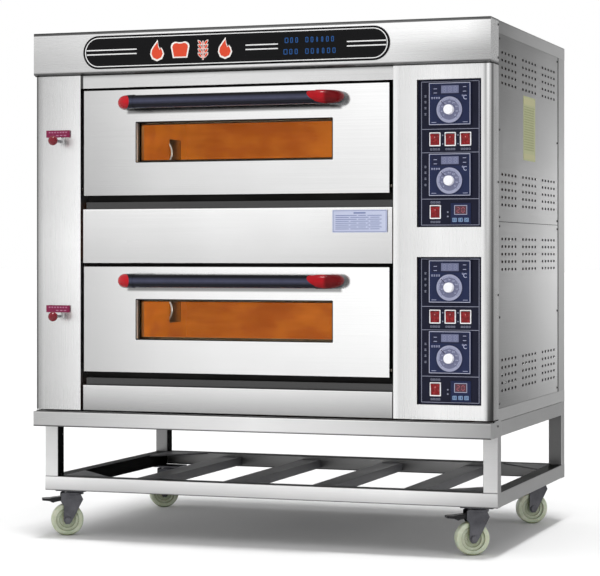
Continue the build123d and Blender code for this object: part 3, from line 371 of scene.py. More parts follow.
def handle_paint(deck):
    """Navy-black sleeve with red ends cut off at a slant, on one door's handle, with a painted highlight band
    along its front and painted shading on the red ends.
    """
    g = Graph(f"{deck}_handle_finish", Specular_IOR_Level=0.12)
    grip_low, grip_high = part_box(f"{deck}_handle_grip")
    axis_y = (grip_low.y + grip_high.y) / 2
    axis_z = (grip_low.z + grip_high.z) / 2
    radius = (grip_high.z - grip_low.z) / 2
    x = g.along((1, 0, 0))
    ahead = g.math("SUBTRACT", axis_y, g.along((0, 1, 0)))
    above = g.math("SUBTRACT", g.along((0, 0, 1)), axis_z)
    slant = g.math("ADD", g.times(ahead, 1.4), g.times(above, 1.1))
    right = g.math("GREATER_THAN", g.math("ADD", x, slant), grip_high.x + 10 * MM)
    bulge = g.times(ahead, 0.8)
    left = g.math("LESS_THAN", g.math("SUBTRACT", x, bulge), grip_low.x - 25 * MM)
    red = g.math("MAXIMUM", right, left)
    # painted shade: the right red end darker further along
    far = g.span(x, grip_high.x + 20 * MM, grip_high.x + 32 * MM, 1.0, 0.35)
    height = g.math("DIVIDE", above, radius)
    # painted highlight: a bluish band along the front of the grip
    painted_sheen = g.profile(height, (-1.0, -0.94, -0.84, -0.5, 0.0, 0.3, 0.6), (0.1, 0.7, 0.1, 0.05, 1.0, 0.6, 0.0))
    front = g.facing((0, -1, 0), 0.0, 0.4)
    dark = g.mix(g.times(painted_sheen, front), NAVY, PAINTED_SHEEN)
    # painted shading on the red ends: darker low and high, the left end brighter
    ends = g.profile(height, (-1.0, -0.8, 0.0, 1.0), (0.4, 0.6, 1.0, 0.7))
    mottle = g.noise((60.0, 60.0, 60.0), detail=2.0)
    ends = g.times(ends, g.blend(left, far, 1.25))
    tint = g.mix(red, dark, g.scaled(RED, ends))
    g.colour(g.scaled(tint, g.span(mottle, 0.3, 0.7, 0.95, 1.05)))
    fine = g.noise((700.0, 700.0, 700.0))
    g.roughness(g.span(fine, 0.3, 0.7, 0.2, 0.27))
    g.relief(fine, 0.01 * MM, strength=0.25)
    return g.material


# Painted light and shade: how much of its brightness each sheet keeps, as plain ramps along X, Y or Z in
# metres.


def assign(node, material):
    """Give a carried-over CAD node one finish."""
    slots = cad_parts[node].data.materials
    slots.clear()
    slots.append(material)


def between(low, high, *shares):
    """The places at the given shares of the way from low to high."""
    return [low + (high - low) * share for share in shares]


def door_shade(deck):
    """Painted light and shade: brighter to the right and upwards, a painted dark band under the handle for
    its shadow and reflection, and darker faces that do not face forward.
    """
    low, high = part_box(f"{deck}_door_skin")
    bar_low, bar_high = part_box(f"{deck}_handle_grip")
    elbow_low, elbow_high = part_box(f"{deck}_handle_elbows")
    axis = (bar_low.z + bar_high.z) / 2

    def shade(g):
        x, up = g.along((1, 0, 0)), g.along((0, 0, 1))
        across = g.profile(x, between(low.x, high.x, 0.02, 0.26, 0.46, 1.0), (0.6, 0.8, 0.9, 1.0))
        front = g.times(across, g.ramp(up, low.z, high.z, 0.8, 1.0))
        # painted shadow and reflection of the handle: a dark band under the grip
        below = g.profile(up, (axis - 31 * MM, axis - 26 * MM, axis - 13 * MM, axis + 9 * MM),
                          (1.0, 0.35, 0.3, 1.0))
        left = g.span(x, elbow_low.x + 10 * MM, elbow_low.x + 20 * MM, 0.0, 1.0)
        right = g.span(x, elbow_high.x - 20 * MM, elbow_high.x - 10 * MM, 1.0, 0.0)
        front = g.times(front, g.blend(g.times(left, right), 1.0, below))
        # faces that do not face forward are painted darker
        return g.blend(g.facing((0, -1, 0), 0.2, 0.6), 0.35, front)
    return shade


def fascia_shade(g):
    """The three fascias, with painted light and shade: painted highlights on their top edges and painted
    black shade in the folds at their left and behind.
    """
    low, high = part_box("front_fascias")
    x, y, up = g.along((1, 0, 0)), g.along((0, 1, 0)), g.along((0, 0, 1))
    across = g.profile(x, between(low.x, high.x, 0.0, 0.46, 0.68, 1.0), (0.85, 1.0, 1.0, 0.9))
    lower_top, middle_low, middle_top, upper_low = 0.441, 0.795, 0.935, 1.28
    stops = (low.z, lower_top - 7 * MM, middle_low, middle_top - 5 * MM, upper_low)
    front = g.times(across, g.profile(up, stops, (0.35, 0.68, 0.67, 0.87, 0.71)))
    stops = (lower_top - 4.5 * MM, lower_top - 2 * MM, lower_top + 29 * MM, middle_top - 5 * MM,
             middle_top, high.z - 8 * MM, high.z)
    # painted highlights along the top edges, painted dark at the very top
    edge = g.profile(up, stops, (1.0, 1.3, 1.0, 1.0, 1.3, 1.0, 0.4))
    front = g.math("MINIMUM", g.times(front, edge), 1.0)
    # painted black shade in the folds at the left and behind
    left = g.ramp(x, low.x + 8 * MM, low.x + 9.5 * MM, 1.0, 0.0)
    behind = g.ramp(y, low.y + 1.5 * MM, low.y + 2.5 * MM, 0.0, 1.0)
    return g.blend(g.math("MAXIMUM", left, behind), front, 0.07)


def canopy_shade(g):
    """The canopy, with painted light and shade: brightest high up and in the middle, painted dark along its
    turned edges and on its side returns.
    """
    low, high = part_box("front_canopy")
    x, up = g.along((1, 0, 0)), g.along((0, 0, 1))
    lower = g.profile(x, between(low.x, high.x, 0.0, 0.42, 0.8, 1.0), (0.5, 0.78, 0.7, 0.38))
    upper = g.profile(x, between(low.x, high.x, 0.0, 0.42, 0.95, 1.0), (0.6, 0.95, 1.0, 0.75))
    front = g.blend(g.span(up, low.z + 19 * MM, high.z - 12 * MM, 0.0, 1.0), lower, upper)
    # painted dark lines along the turned edges, with a painted highlight near the top
    stops = (low.z, low.z + 5.5 * MM, low.z + 10.5 * MM, high.z - 12.5 * MM, high.z - 8.5 * MM,
             high.z - 7.2 * MM, high.z)
    edge = g.profile(up, stops, (0.15, 0.1, 1.0, 1.0, 1.1, 0.2, 0.06))
    front = g.math("MINIMUM", g.times(front, edge), 1.0)
    # side returns painted darker
    ends = g.profile(up, (low.z, low.z + 11 * MM, high.z - 6 * MM, high.z), (0.1, 0.67, 0.7, 0.2))
    return g.blend(g.facing((0, -1, 0), 0.2, 0.6), ends, front)


def left_column_shade(g):
    """Painted light and shade: a dark outer edge, brighter towards the doors and at mid height, and its left
    face painted darker.
    """
    low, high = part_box("left_column")
    stops = (low.x, low.x + 5 * MM, low.x + 10 * MM, low.x + 25 * MM, high.x)
    across = g.profile(g.along((1, 0, 0)), stops, (0.1, 0.15, 0.6, 0.88, 1.25))
    up = g.profile(g.along((0, 0, 1)), between(low.z, high.z, 0.0, 0.2, 0.5, 1.0),
                   (0.53, 0.6, 0.73, 0.59))
    front = g.math("MINIMUM", g.times(across, up), 1.0)
    return g.blend(g.facing((-1, 0, 0)), front, 0.45)


def control_column_shade(g):
    """Painted light and shade: a dark rounded corner with a painted highlight higher up, and a side return
    painted dark in front.
    """
    low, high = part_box("control_column")
    x, y, up = g.along((1, 0, 0)), g.along((0, 1, 0)), g.along((0, 0, 1))
    stops = [low.x + place * MM for place in (0, 8, 16, 126, 246, 254, 260)] + [high.x]
    lower = g.profile(x, stops, (0.8, 0.78, 0.64, 0.79, 0.78, 0.6, 0.1, 0.01))
    upper = g.profile(x, stops, (0.83, 0.82, 0.72, 0.85, 0.75, 0.35, 0.95, 0.1))
    front = g.blend(g.ramp(up, low.z, high.z, 0.0, 1.0), lower, upper)
    stops = (low.y, low.y + 7 * MM, low.y + 19 * MM, high.y)
    lower = g.profile(y, stops, (0.03, 0.08, 0.38, 0.45))
    upper = g.profile(y, stops, (0.1, 0.25, 0.6, 0.65))
    side = g.blend(g.ramp(up, 0.45, 1.0, 0.0, 1.0), lower, upper)
    return g.blend(g.facing((1, 0, 0), 0.6, 0.9), front, side)


def side_shade(g):
    """The side sheets with painted light and shade, painted black inside, with the roof's and the tray's
    flanges above and below, and a flat share on faces that do not face sideways.
    """
    low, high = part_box("side_panels")
    tray_low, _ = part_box("base_tray")
    _, roof_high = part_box("roof_panel")
    back, up = g.along((0, 1, 0)), g.along((0, 0, 1))
    sheets = g.times(g.profile(back, between(low.y, high.y, 0.0, 0.48, 1.0), (0.75, 1.0, 1.3)),
                     g.profile(up, between(low.z, high.z, 0.0, 0.35, 0.6, 1.0),
                               (0.42, 0.63, 0.64, 0.43)))
    out = g.math("ABSOLUTE", g.along((1, 0, 0)))
    # painted black shade inside the sheets, behind their outer faces
    outside = g.ramp(out, high.x - 0.6 * MM, high.x - 0.3 * MM, 0.0, 1.0)
    sheets = g.blend(outside, 0.03, sheets)
    roof = g.profile(back, between(low.y, high.y, 0.0, 0.48, 1.0), (0.4, 0.55, 0.62))
    roof = g.times(roof, g.span(up, roof_high.z - 5 * MM, roof_high.z, 1.0, 0.6))
    tray = g.profile(back, (tray_low.y, tray_low.y + 9 * MM, tray_low.y + 39 * MM, high.y),
                     (0.03, 0.06, 0.43, 0.49))
    value = g.blend(g.ramp(up, high.z, high.z + MM, 0.0, 1.0), sheets, roof)
    value = g.blend(g.ramp(up, low.z - MM, low.z, 1.0, 0.0), value, tray)
    return g.blend(g.sideways(), 0.42, value)


def back_shade(g):
    """Painted light and shade on the back sheet's return on each side, darker by its front fold, and a flat
    share on its broad plain face.
    """
    low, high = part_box("back_panel")
    strip = g.profile(g.along((0, 0, 1)), between(low.z, high.z, 0.0, 0.6, 1.0), (0.45, 0.69, 0.56))
    fold = g.span(g.along((0, 1, 0)), low.y + 4 * MM, low.y + 9 * MM, 0.25, 1.0)
    return g.blend(g.sideways(), 0.42, g.times(strip, fold))


def stand_shade(g):
    """Apron, rails and legs with painted light and shade: bright in front with painted highlights on top
    edges, painted dark above, inside and on the right.
    """
    low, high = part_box("stand_frame")
    apron_low, rail_top = high.z - 41.5 * MM, low.z + 40 * MM
    x, y, up = g.along((1, 0, 0)), g.along((0, 1, 0)), g.along((0, 0, 1))
    stops = (apron_low, apron_low + 2 * MM, apron_low + 5 * MM, high.z - 4.5 * MM, high.z)
    apron = g.times(g.profile(x, between(low.x, high.x, 0.0, 0.5, 0.8, 1.0), (0.42, 0.75, 0.57, 0.32)),
                    g.profile(up, stops, (0.12, 0.2, 1.0, 1.0, 1.3)))
    stops = (low.z, low.z + 1.5 * MM, low.z + 4 * MM, rail_top - 5 * MM, rail_top - 2 * MM, rail_top,
             rail_top + 3 * MM, apron_low)
    rails = g.times(g.profile(x, between(low.x, high.x, 0.0, 0.2, 0.8, 1.0), (0.62, 0.55, 0.65, 0.46)),
                    g.profile(up, stops, (0.2, 0.3, 0.85, 1.25, 1.3, 0.6, 1.1, 0.88)))
    leg = g.times(g.math("GREATER_THAN", x, 0.60), g.math("GREATER_THAN", up, rail_top))
    rails = g.times(rails, g.blend(leg, 1.0, 1.12))
    ahead = g.ramp(y, low.y + 38 * MM, low.y + 48 * MM, 1.0, 0.0)
    front = g.blend(ahead, rails, apron)
    front = g.times(front, g.span(y, -0.2, -0.1, 1.0, 0.32))
    right = g.ramp(x, high.x - 65 * MM, high.x - 35 * MM, 0.04, 0.41)
    left = g.ramp(x, low.x + 35 * MM, low.x + 65 * MM, 0.45, 0.16)
    value = g.blend(g.facing((0, -1, 0)), 0.10, front)
    value = g.blend(g.facing((0, 1, 0)), value, g.span(y, 0.3, 0.4, 0.06, 0.5))
    value = g.blend(g.facing((-1, 0, 0)), value, left)
    return g.blend(g.facing((1, 0, 0)), value, right)


def finish_casing():
    """Panels, columns, doors and stand."""
    side = sheet_steel("side_steel", "ffffff", 0.34, ALONG_Y, side_shade)
    for deck in DECKS:
        skin = sheet_steel(f"{deck}_door_steel", "ffffff", 0.13, ALONG_X, door_shade(deck))
        assign(f"{deck}_door_skin", skin)
    assign("front_canopy", sheet_steel("canopy_steel", "ffffff", 0.28, ALONG_X, canopy_shade))
    assign("left_column", sheet_steel("left_steel", "ffffff", 0.28, ALONG_Z, left_column_shade))
    assign("control_column",
           sheet_steel("control_steel", "ffffff", 0.28, ALONG_Z, control_column_shade))
    assign("front_fascias", sheet_steel("fascia_steel", "ffffff", 0.22, ALONG_X, fascia_shade))
    assign("stand_frame", sheet_steel("stand_steel", "ffffff", 0.32, ALONG_X, stand_shade))
    for node in ("roof_panel", "side_panels", "base_tray"):
        assign(node, side)
    assign("back_panel", sheet_steel("back_steel", "ffffff", 0.4, ALONG_X, back_shade))
    assign("stand_slats", dark_paint("slat_paint", "58585b"))
    assign("fasteners", sheet_steel("rivet_steel", "5c5c5c", 0.35, ALONG_Z))
    assign("exhaust_ducts", galvanised())
    assign("gas_train", cast_iron())


def finish_castors():
    zinc = zinc_plate()
    wheel = nylon()
    pedal = dark_paint("pedal_paint", "1b1b1d", 0.35)
    assign("castor_plates", zinc)
    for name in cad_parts:
        if name.endswith("castor_fork"):
            assign(name, zinc)
        elif name.endswith("castor_wheel"):
            assign(name, wheel)
        elif name.endswith("brake_pedal"):
            assign(name, pedal)


def finish_doors():
    glass = window_glass()
    liner = sheet_steel("liner_steel", "a79f93", 0.42, ALONG_X)
    chrome = damper_finish()
    for deck in DECKS:
        assign(f"{deck}_door_liner", liner)
        assign(f"{deck}_door_glass", glass)
        paint = handle_paint(deck)
        assign(f"{deck}_handle_grip", paint)
        assign(f"{deck}_handle_elbows", paint)
        assign(f"{deck}_damper_knob", chrome)
    assign("baking_chambers", chamber_steel())
    assign("chamber_lamps", lamp_glass())


def damper_finish():
    """Dull rod with a dark red ball on its end; behind the front, its blade carries a painted amber glow in a
    brown tint and emission.
    """
    g = Graph("damper_finish", Specular_IOR_Level=0.35)
    low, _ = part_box("lower_damper_knob")
    ball = g.math("LESS_THAN", g.along((0, 1, 0)), low.y + 26.5 * MM)
    fine = g.noise((500.0, 500.0, 500.0))
    tint = g.mix(ball, hex_colour("77777b"), hex_colour("6e0c1c"))
    # painted amber glow on the blade behind the front
    blade = g.math("GREATER_THAN", g.along((0, 1, 0)), 0.0)
    tint = g.mix(blade, tint, hex_colour("8a6230"))
    g.colour(g.scaled(tint, g.span(fine, 0.3, 0.7, 0.95, 1.04)))
    g.feed(g.math("SUBTRACT", 1.0, g.math("MAXIMUM", ball, blade)), g.shader.inputs["Metallic"])
    g.feed(hex_colour("d7790f"), g.shader.inputs["Emission Color"])
    g.feed(g.times(blade, 0.3), g.shader.inputs["Emission Strength"])
    g.roughness(g.span(ball, 0.0, 1.0, 0.2, 0.2))
    g.relief(fine, 0.01 * MM, strength=0.2)
    return g.material


def dial_finish():
    """A printed grey-blue disc behind a white knob, parted by their distance from the front."""
    g = Graph("dial_finish", Specular_IOR_Level=0.3)
    low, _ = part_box("lower_top_heat_dial")
    knob = g.math("LESS_THAN", g.along((0, 1, 0)), low.y + 13.6 * MM)
    fine = g.noise((700.0, 700.0, 700.0))
    tint = g.mix(knob, hex_colour("6a6d88"), hex_colour("ededf1"))
    g.colour(g.scaled(tint, g.span(fine, 0.3, 0.7, 0.97, 1.03)))
    g.roughness(g.span(fine, 0.3, 0.7, 0.26, 0.34))
    g.relief(fine, 0.01 * MM, strength=0.2, edge=0.6 * MM)
    return g.material


def finish_controls():
    overlay = moulded("overlay_film", "14162a", 0.4, shine=0.15, grain=1400.0)
    navy = moulded("instrument_navy", "1f2747", 0.36, shine=0.15)
    white = moulded("bezel_white", "f4f4f6", 0.3, speck=0.02)
    red = rocker_red()
    dial = dial_finish()
    key = moulded("key_blue", "33507a", 0.35, shine=0.25)
    assign("control_plates", overlay)
    assign("instrument_housings", navy)
    assign("switch_bezels", white)
    assign("sign_plate", moulded("sign_black", "08080a", 0.2, shine=0.12, speck=0.1))
    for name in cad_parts:
        if name.endswith("_rocker"):
            assign(name, red)
        elif name.endswith("_dial"):
            assign(name, dial)
        elif name.endswith("_key"):
            assign(name, key)


def rocker_red():
    """Translucent red switch plastic, mottled, lighter in the open and darker in its crevices by painted
    shade.
    """
    g = Graph("rocker_red", Specular_IOR_Level=0.3, Subsurface_Weight=0.1, Subsurface_Scale=0.004)
    cloud = g.noise((120.0, 120.0, 120.0), detail=2.0)
    tint = g.mix(g.span(cloud, 0.3, 0.7, 0.0, 1.0), hex_colour("6c070e"), hex_colour("900d15"))
    # painted shade in the crevices
    g.colour(g.mix(g.corner_shade(0.004), hex_colour("3a0406"), tint))
    g.roughness(g.span(cloud, 0.3, 0.7, 0.2, 0.3))
    g.relief(cloud, 0.03 * MM, strength=0.2, edge=0.6 * MM)
    return g.material


# ---- Printed marks and small shapes -------------------------------------------------


class Marks:
    """Flat marks on one face, drawn in millimetres along the face's own right and up."""

    def __init__(self, origin, right=(1, 0, 0), up=(0, 0, 1), proud=PROUD):
        self.origin = Vector(origin)
        self.right = Vector(right)
        self.up = Vector(up)
        self.out = self.right.cross(self.up)
        self.proud = proud
        self.mesh = bmesh.new()

    def point(self, x, z, lift):
        return self.origin + self.right * x * MM + self.up * z * MM + self.out * lift

    def prism(self, outline, base=0.0):
        """A closed thin plate over an outline that runs anticlockwise."""
        top = [self.mesh.verts.new(self.point(x, z, base + self.proud)) for x, z in outline]
        under = [self.mesh.verts.new(self.point(x, z, base)) for x, z in outline]
        self.mesh.faces.new(top)
        self.mesh.faces.new(list(reversed(under)))
        for i in range(len(outline)):
            j = (i + 1) % len(outline)
            self.mesh.faces.new((top[j], top[i], under[i], under[j]))

    def band(self, outer, inner, base=0.0):
        """A closed thin frame between two outlines with the same number of points."""
        rings = []
        for outline in (outer, inner):
            for lift in (base + self.proud, base):
                rings.append([self.mesh.verts.new(self.point(x, z, lift)) for x, z in outline])
        outer_top, outer_low, inner_top, inner_low = rings
        for i in range(len(outer)):
            j = (i + 1) % len(outer)
            self.mesh.faces.new((outer_top[i], outer_top[j], inner_top[j], inner_top[i]))
            self.mesh.faces.new((outer_low[j], outer_low[i], inner_low[i], inner_low[j]))
            self.mesh.faces.new((outer_top[j], outer_top[i], outer_low[i], outer_low[j]))
            self.mesh.faces.new((inner_top[i], inner_top[j], inner_low[j], inner_low[i]))

    def rectangle(self, x, z, width, height, base=0.0):
        w, h = width / 2, height / 2
        self.prism([(x - w, z - h), (x + w, z - h), (x + w, z + h), (x - w, z + h)], base)

    def frame(self, x, z, width, height, line, corner=0.0):
        self.band(
            rounded(x, z, width, height, corner),
            rounded(x, z, width - 2 * line, height - 2 * line, max(corner - line, 0.0)),
        )

    def disc(self, x, z, radius, steps):
        self.prism(circle(x, z, radius, steps))

    def ring(self, x, z, outer, inner, steps=64):
        self.band(circle(x, z, outer, steps), circle(x, z, inner, steps))

    def stroke(self, start, end, width, base=0.0):
        a, b = Vector(start), Vector(end)
        side = (b - a).normalized() * width / 2
        side = Vector((-side.y, side.x))
        self.prism([tuple(p) for p in (a - side, b - side, b + side, a + side)], base)

    def arc(self, x, z, radius, line, start, stop):
        """A stretch of ring between two angles in degrees."""
        steps = 14
        turns = [math.radians(start + (stop - start) * i / steps) for i in range(steps + 1)]
        outer, inner = radius + line / 2, radius - line / 2
        outside = [(x + outer * math.cos(t), z + outer * math.sin(t)) for t in turns]
        inside = [(x + inner * math.cos(t), z + inner * math.sin(t)) for t in turns]
        self.prism(outside + inside[::-1])

    def digit(self, value, x, z, height, line):
        """A seven-segment digit."""
        w, h = height * 0.5, height / 2
        spots = {
            "a": ((-w / 2, h), (w / 2, h)), "g": ((-w / 2, 0), (w / 2, 0)),
            "d": ((-w / 2, -h), (w / 2, -h)), "f": ((-w / 2, h), (-w / 2, 0)),
            "b": ((w / 2, h), (w / 2, 0)), "e": ((-w / 2, 0), (-w / 2, -h)),
            "c": ((w / 2, 0), (w / 2, -h)),
        }
        lit = {"0": "abcdef", "1": "bc", "2": "abged", "3": "abgcd", "5": "afgcd", "8": "abcdefg"}
        for segment in lit[value]:
            (x0, z0), (x1, z1) = spots[segment]
            trim = Vector((x1 - x0, z1 - z0)).normalized() * line * 0.6
            start = (x + x0 + trim.x, z + z0 + trim.y)
            end = (x + x1 - trim.x, z + z1 - trim.y)
            self.stroke(start, end, line)

    def finish(self, name, material, body="oven_frame"):
        """Make the piece, and let it ride on its body."""
        bmesh.ops.recalc_face_normals(self.mesh, faces=self.mesh.faces)
        settle(name, self.mesh, material, body)


def circle(x, z, radius, steps):
    turns = [2 * math.pi * i / steps for i in range(steps)]
    return [(x + radius * math.cos(t), z + radius * math.sin(t)) for t in turns]


def rounded(x, z, width, height, corner, steps=8):
    """A rectangle's outline with round corners, anticlockwise."""
    points = []
    for quarter, (sx, sz) in enumerate(((1, 1), (-1, 1), (-1, -1), (1, -1))):
        cx = x + sx * (width / 2 - corner)
        cz = z + sz * (height / 2 - corner)
        for i in range(steps + 1):
            t = math.radians(90 * quarter + 90 * i / steps)
            points.append((cx + corner * math.cos(t), cz + corner * math.sin(t)))
    return points


def settle(name, mesh, material, body):
    """Turn a bmesh into a named piece on a body."""
    bmesh.ops.remove_doubles(mesh, verts=mesh.verts, dist=1e-7)
    data = bpy.data.meshes.new(name)
    mesh.to_mesh(data)
    mesh.free()
    data.materials.append(material)
    piece = bpy.data.objects.new(name, data)
    bpy.context.scene.collection.objects.link(piece)
    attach(piece, body)


INKS = {}


def ink(code, rough=0.45):
    """The ink of one colour, made once."""
    if code not in INKS:
        INKS[code] = printed(f"ink_{code}", code, rough)
    return INKS[code]


# ---- Name board ---------------------------------------------------------------------


def flame(x, z, size):
    """A drop-shaped flame outline, anticlockwise from its tip."""
    shape = ((0.05, 1.0), (-0.3, 0.55), (-0.62, 0.1), (-0.7, -0.35), (-0.5, -0.78), (0.0, -1.0),
             (0.5, -0.8), (0.7, -0.35), (0.58, 0.05), (0.38, 0.3), (0.3, 0.05), (0.12, 0.5))
    return [(x + size * px, z + size * pz) for px, pz in shape]


def loaf(x, z, size):
    """A bread loaf seen from its end."""
    top = [(0.3 * math.cos(math.radians(t)), 0.3 * math.sin(math.radians(t)))
           for t in range(0, 181, 20)]
    left = [(-0.45 + px * 1.6, 0.3 + pz * 1.5) for px, pz in top]
    right = [(0.45 + px * 1.6, 0.3 + pz * 1.5) for px, pz in top]
    crown = right[:7] + left[3:]
    outline = [(0.72, -0.75), *crown, (-0.72, -0.75)]
    return [(x + size * px, z + size * pz) for px, pz in outline]


def leaf(x, z, size, turn):
    """A slim grain, pointed at both ends."""
    points = []
    for i in range(16):
        t = 2 * math.pi * i / 16
        px, pz = 0.42 * math.sin(t) * abs(math.sin(t)) ** 0.3, math.cos(t)
        c, s = math.cos(turn), math.sin(turn)
        points.append((x + size * (px * c - pz * s), z + size * (px * s + pz * c)))
    return points[::-1]


def make_sign():
    low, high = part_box("sign_plate")
    face = ((low.x + high.x) / 2, low.y, (low.z + high.z) / 2)
    length, height = (high.x - low.x) / MM, (high.z - low.z) / MM
    white = Marks(face)
    white.frame(0, 0, length - 12, height - 11, 2.4, (height - 11) / 2)
    for x0, x1 in ((-439, -286), (38, 132), (329, 439)):
        for z in (-6, 6):
            white.rectangle((x0 + x1) / 2, z, x1 - x0, 3.2)
    white.finish("sign_border_lines", ink("e6e6e6"))
    back = Marks(face)
    front = Marks(face, proud=2 * PROUD)
    for outline, x, drop, size in ((flame, -224, 0.5, 24), (loaf, -155, 0.2, 25), (flame, -22, 0.5, 24)):
        back.prism(outline(x, 0, 30))
        front.prism(outline(x, -drop, size))
    for step in range(4):
        for side in (-1, 1):
            spot = (-87 + side * 9, -17 + step * 11.5)
            back.prism(leaf(*spot, 9.5, -side * 0.7), base=step % 2 * 0.05 * MM)
            front.prism(leaf(*spot, 7.0, -side * 0.7))
    back.stroke((-87, -30), (-87, 22), 5)
    front.stroke((-87, -29), (-87, 21), 2.4)
    back.finish("sign_icon_outlines", ink("f0ebe6"))
    front.finish("sign_icons", ink("d8492c"))
    blue = Marks(face)
    widths = (11, 8, 8, 0, 9, 8, 5, 6, 8, 8)
    for row, (z, start, pitch) in enumerate(((15, 157, 14.6), (-16, 154, 15.4))):
        for i, width in enumerate(widths):
            if width:
                blue.frame(start + i * pitch, z, width + row, 15, 2.6, 3)
    blue.finish("sign_caption_marks", ink("1d4a82"))


# ---- Labels -------------------------------------------------------------------------


def make_instruction_label():
    """The pale blue notice at the right of the middle panel: a border and ruled lines."""
    low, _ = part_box("left_column")
    face = (0.301, low.y, 0.897)
    paper = Marks(face)
    paper.prism(rounded(0, 0, 154, 61, 2))
    paper.finish("notice_paper", ink("bfc5dc", 0.35))
    lines = Marks(face, proud=2 * PROUD)
    lines.frame(0, 0, 150, 57, 1.0)
    lines.rectangle(0, 22, 34, 3.2)
    for row in range(8):
        z = 15.5 - row * 5.2
        lengths = (38, 52, 26) if row % 2 else (60, 22, 40)
        x = -68
        for length in lengths:
            lines.rectangle(x + length / 2, z, length, 1.5)
            x += length + 4
    lines.finish("notice_lines", ink("5b6a9c"))


def make_damper_labels():
    """The magenta plates above the damper knobs, with plain pale dashes."""
    low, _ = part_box("left_column")
    for deck in DECKS:
        knob_low, knob_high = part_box(f"{deck}_damper_knob")
        knob_z = (knob_low.z + knob_high.z) / 2
        face = (-0.5935, low.y, knob_z + 21 * MM)
        plate = Marks(face, proud=2 * PROUD)
        plate.prism(rounded(0, 0, 73, 20, 1.2))
        plate.finish(f"{deck}_damper_label", ink("7d1f45", 0.35))
        dashes = Marks(face, proud=3 * PROUD)
        for i in range(7):
            dashes.rectangle(-26 + i * 8.6, 4.2, 5.2, 3.6)
        for i in range(3):
            dashes.rectangle(-2 + i * 12, -4.6, 8, 3)
        dashes.finish(f"{deck}_damper_label_marks", ink("ab6f8b"))


def make_side_label():
    """The yellow-green data strip on the right side panel, with ruled rows."""
    _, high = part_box("side_panels")
    face = (high.x, 9.5 * MM, 1.161)
    directions = {"right": (0, 1, 0), "up": (0, 0, 1)}
    paper = Marks(face, **directions)
    paper.prism(rounded(0, 0, 146, 180, 2))
    paper.finish("data_label_paper", ink("9da074", 0.4))
    head = Marks(face, proud=2 * PROUD, **directions)
    head.rectangle(0, 76, 138, 18)
    head.rectangle(0, -78, 138, 14)
    head.finish("data_label_bands", ink("a8a67c"))
    rows = Marks(face, proud=2 * PROUD, **directions)
    rows.rectangle(0, 60, 138, 2.0)
    for row in range(17):
        z = 53 - row * 7
        split = 30 + (row * 37) % 50
        rows.rectangle(-62 + split / 2, z, split, 3)
        rows.rectangle(-58 + split + (112 - split) / 2, z, 112 - split, 3)
    rows.finish("data_label_rows", ink("82865c"))


# ---- Control plates -----------------------------------------------------------------


def centre_of(node):
    low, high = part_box(node)
    return (low + high) / 2


def plate_marks(deck, floor, x):
    """White line work and small generic marks printed on one control plate."""
    _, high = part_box("control_plates")
    plate_y = high.y - 2 * MM
    lines = Marks((x, plate_y, floor))
    lines.frame(-0.4, 196.7, 159, 382, 1.3)
    for up in (75.4, 198.7, 261):
        lines.rectangle(-0.4, up, 158, 1.3)
    lines.finish(f"{deck}_overlay_lines", ink("9da0b4"))
    marks = Marks((x, plate_y, floor))
    for heat in ("bottom_heat", "top_heat"):
        dial = centre_of(f"{deck}_{heat}_dial")
        centre = (dial.z - floor) / MM + 16
        for offset in (21.5, 6, -10, -26.5):
            marks.rectangle(-68.5, centre + offset + 1.8, 6, 1.3)
            marks.rectangle(-68.5, centre + offset - 1.8, 6, 1.3)
            marks.rectangle(-68.5, centre + offset, 1.5, 6.5)
    for name in ("light", "ignition", "buzzer", "mains"):
        spot = centre_of(f"{deck}_{name}_rocker")
        across, up = (spot.x - x) / MM, (spot.z - floor) / MM
        rows = (-26, 26) if name == "mains" else (-26,)
        for row in rows:
            for i in range(4):
                marks.frame(across - 10.5 + i * 7, up + row, 5, 5, 1.1)
        if name in ("light", "ignition"):
            for dot in (11, -12):
                marks.disc(across + 21, up + dot, 1.8, steps=12)
    for up in (40.5, 29):
        marks.disc(-7, up, 2.2, steps=16)
    marks.finish(f"{deck}_overlay_marks", ink("8d90a3"))


def controller_marks(deck, heat):
    """A pale line round the face as a painted highlight on the bezel's edge, display and small marks on one
    temperature controller.
    """
    dial = centre_of(f"{deck}_{heat}_dial")
    low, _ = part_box("instrument_housings")
    centre = Vector((dial.x, low.y, dial.z + 16 * MM))
    name = f"{deck}_{heat}"
    # painted highlight: a pale line along the edge of the face
    pale = Marks(centre)
    pale.frame(0, 0, 113, 111, 1.5, 1.5)
    pale.finish(f"{name}_bezel_highlight", ink("b9bbcd"))
    band = Marks(centre)
    band.rectangle(0, 37.5, 100, 27)
    band.finish(f"{name}_display_band", ink("161b38", 0.3))
    panel = Marks(centre, proud=2 * PROUD)
    panel.prism(rounded(1, 38, 48, 20.5, 0.8))
    panel.finish(f"{name}_display", ink("6f7390", 0.2))
    digits = Marks(centre, proud=3 * PROUD)
    for i in range(3):
        digits.digit("8", -14 + i * 15, 38, 14, 2.2)
    digits.finish(f"{name}_display_digits", ink("7f839e"))
    marks = Marks(centre, proud=2 * PROUD)
    for x, z in ((-39, 40), (-39, 29), (41, 44), (41, 32)):
        marks.rectangle(x, z, 9, 1.4)
    for i in range(4):
        marks.rectangle(-48 + i * 6.5, 17, 4, 1.8)
        marks.rectangle(-48 + i * 6.5, 14, 4, 1.2)
    marks.ring(36, 20.5, 2.2, 1.2, steps=16)
    marks.arc(43.5, 16, 5, 1.8, 50, 310)
    for x in (-43, 43):
        marks.rectangle(x, -49, 13, 1.2)
    marks.finish(f"{name}_face_marks", ink("aeb2cf"))


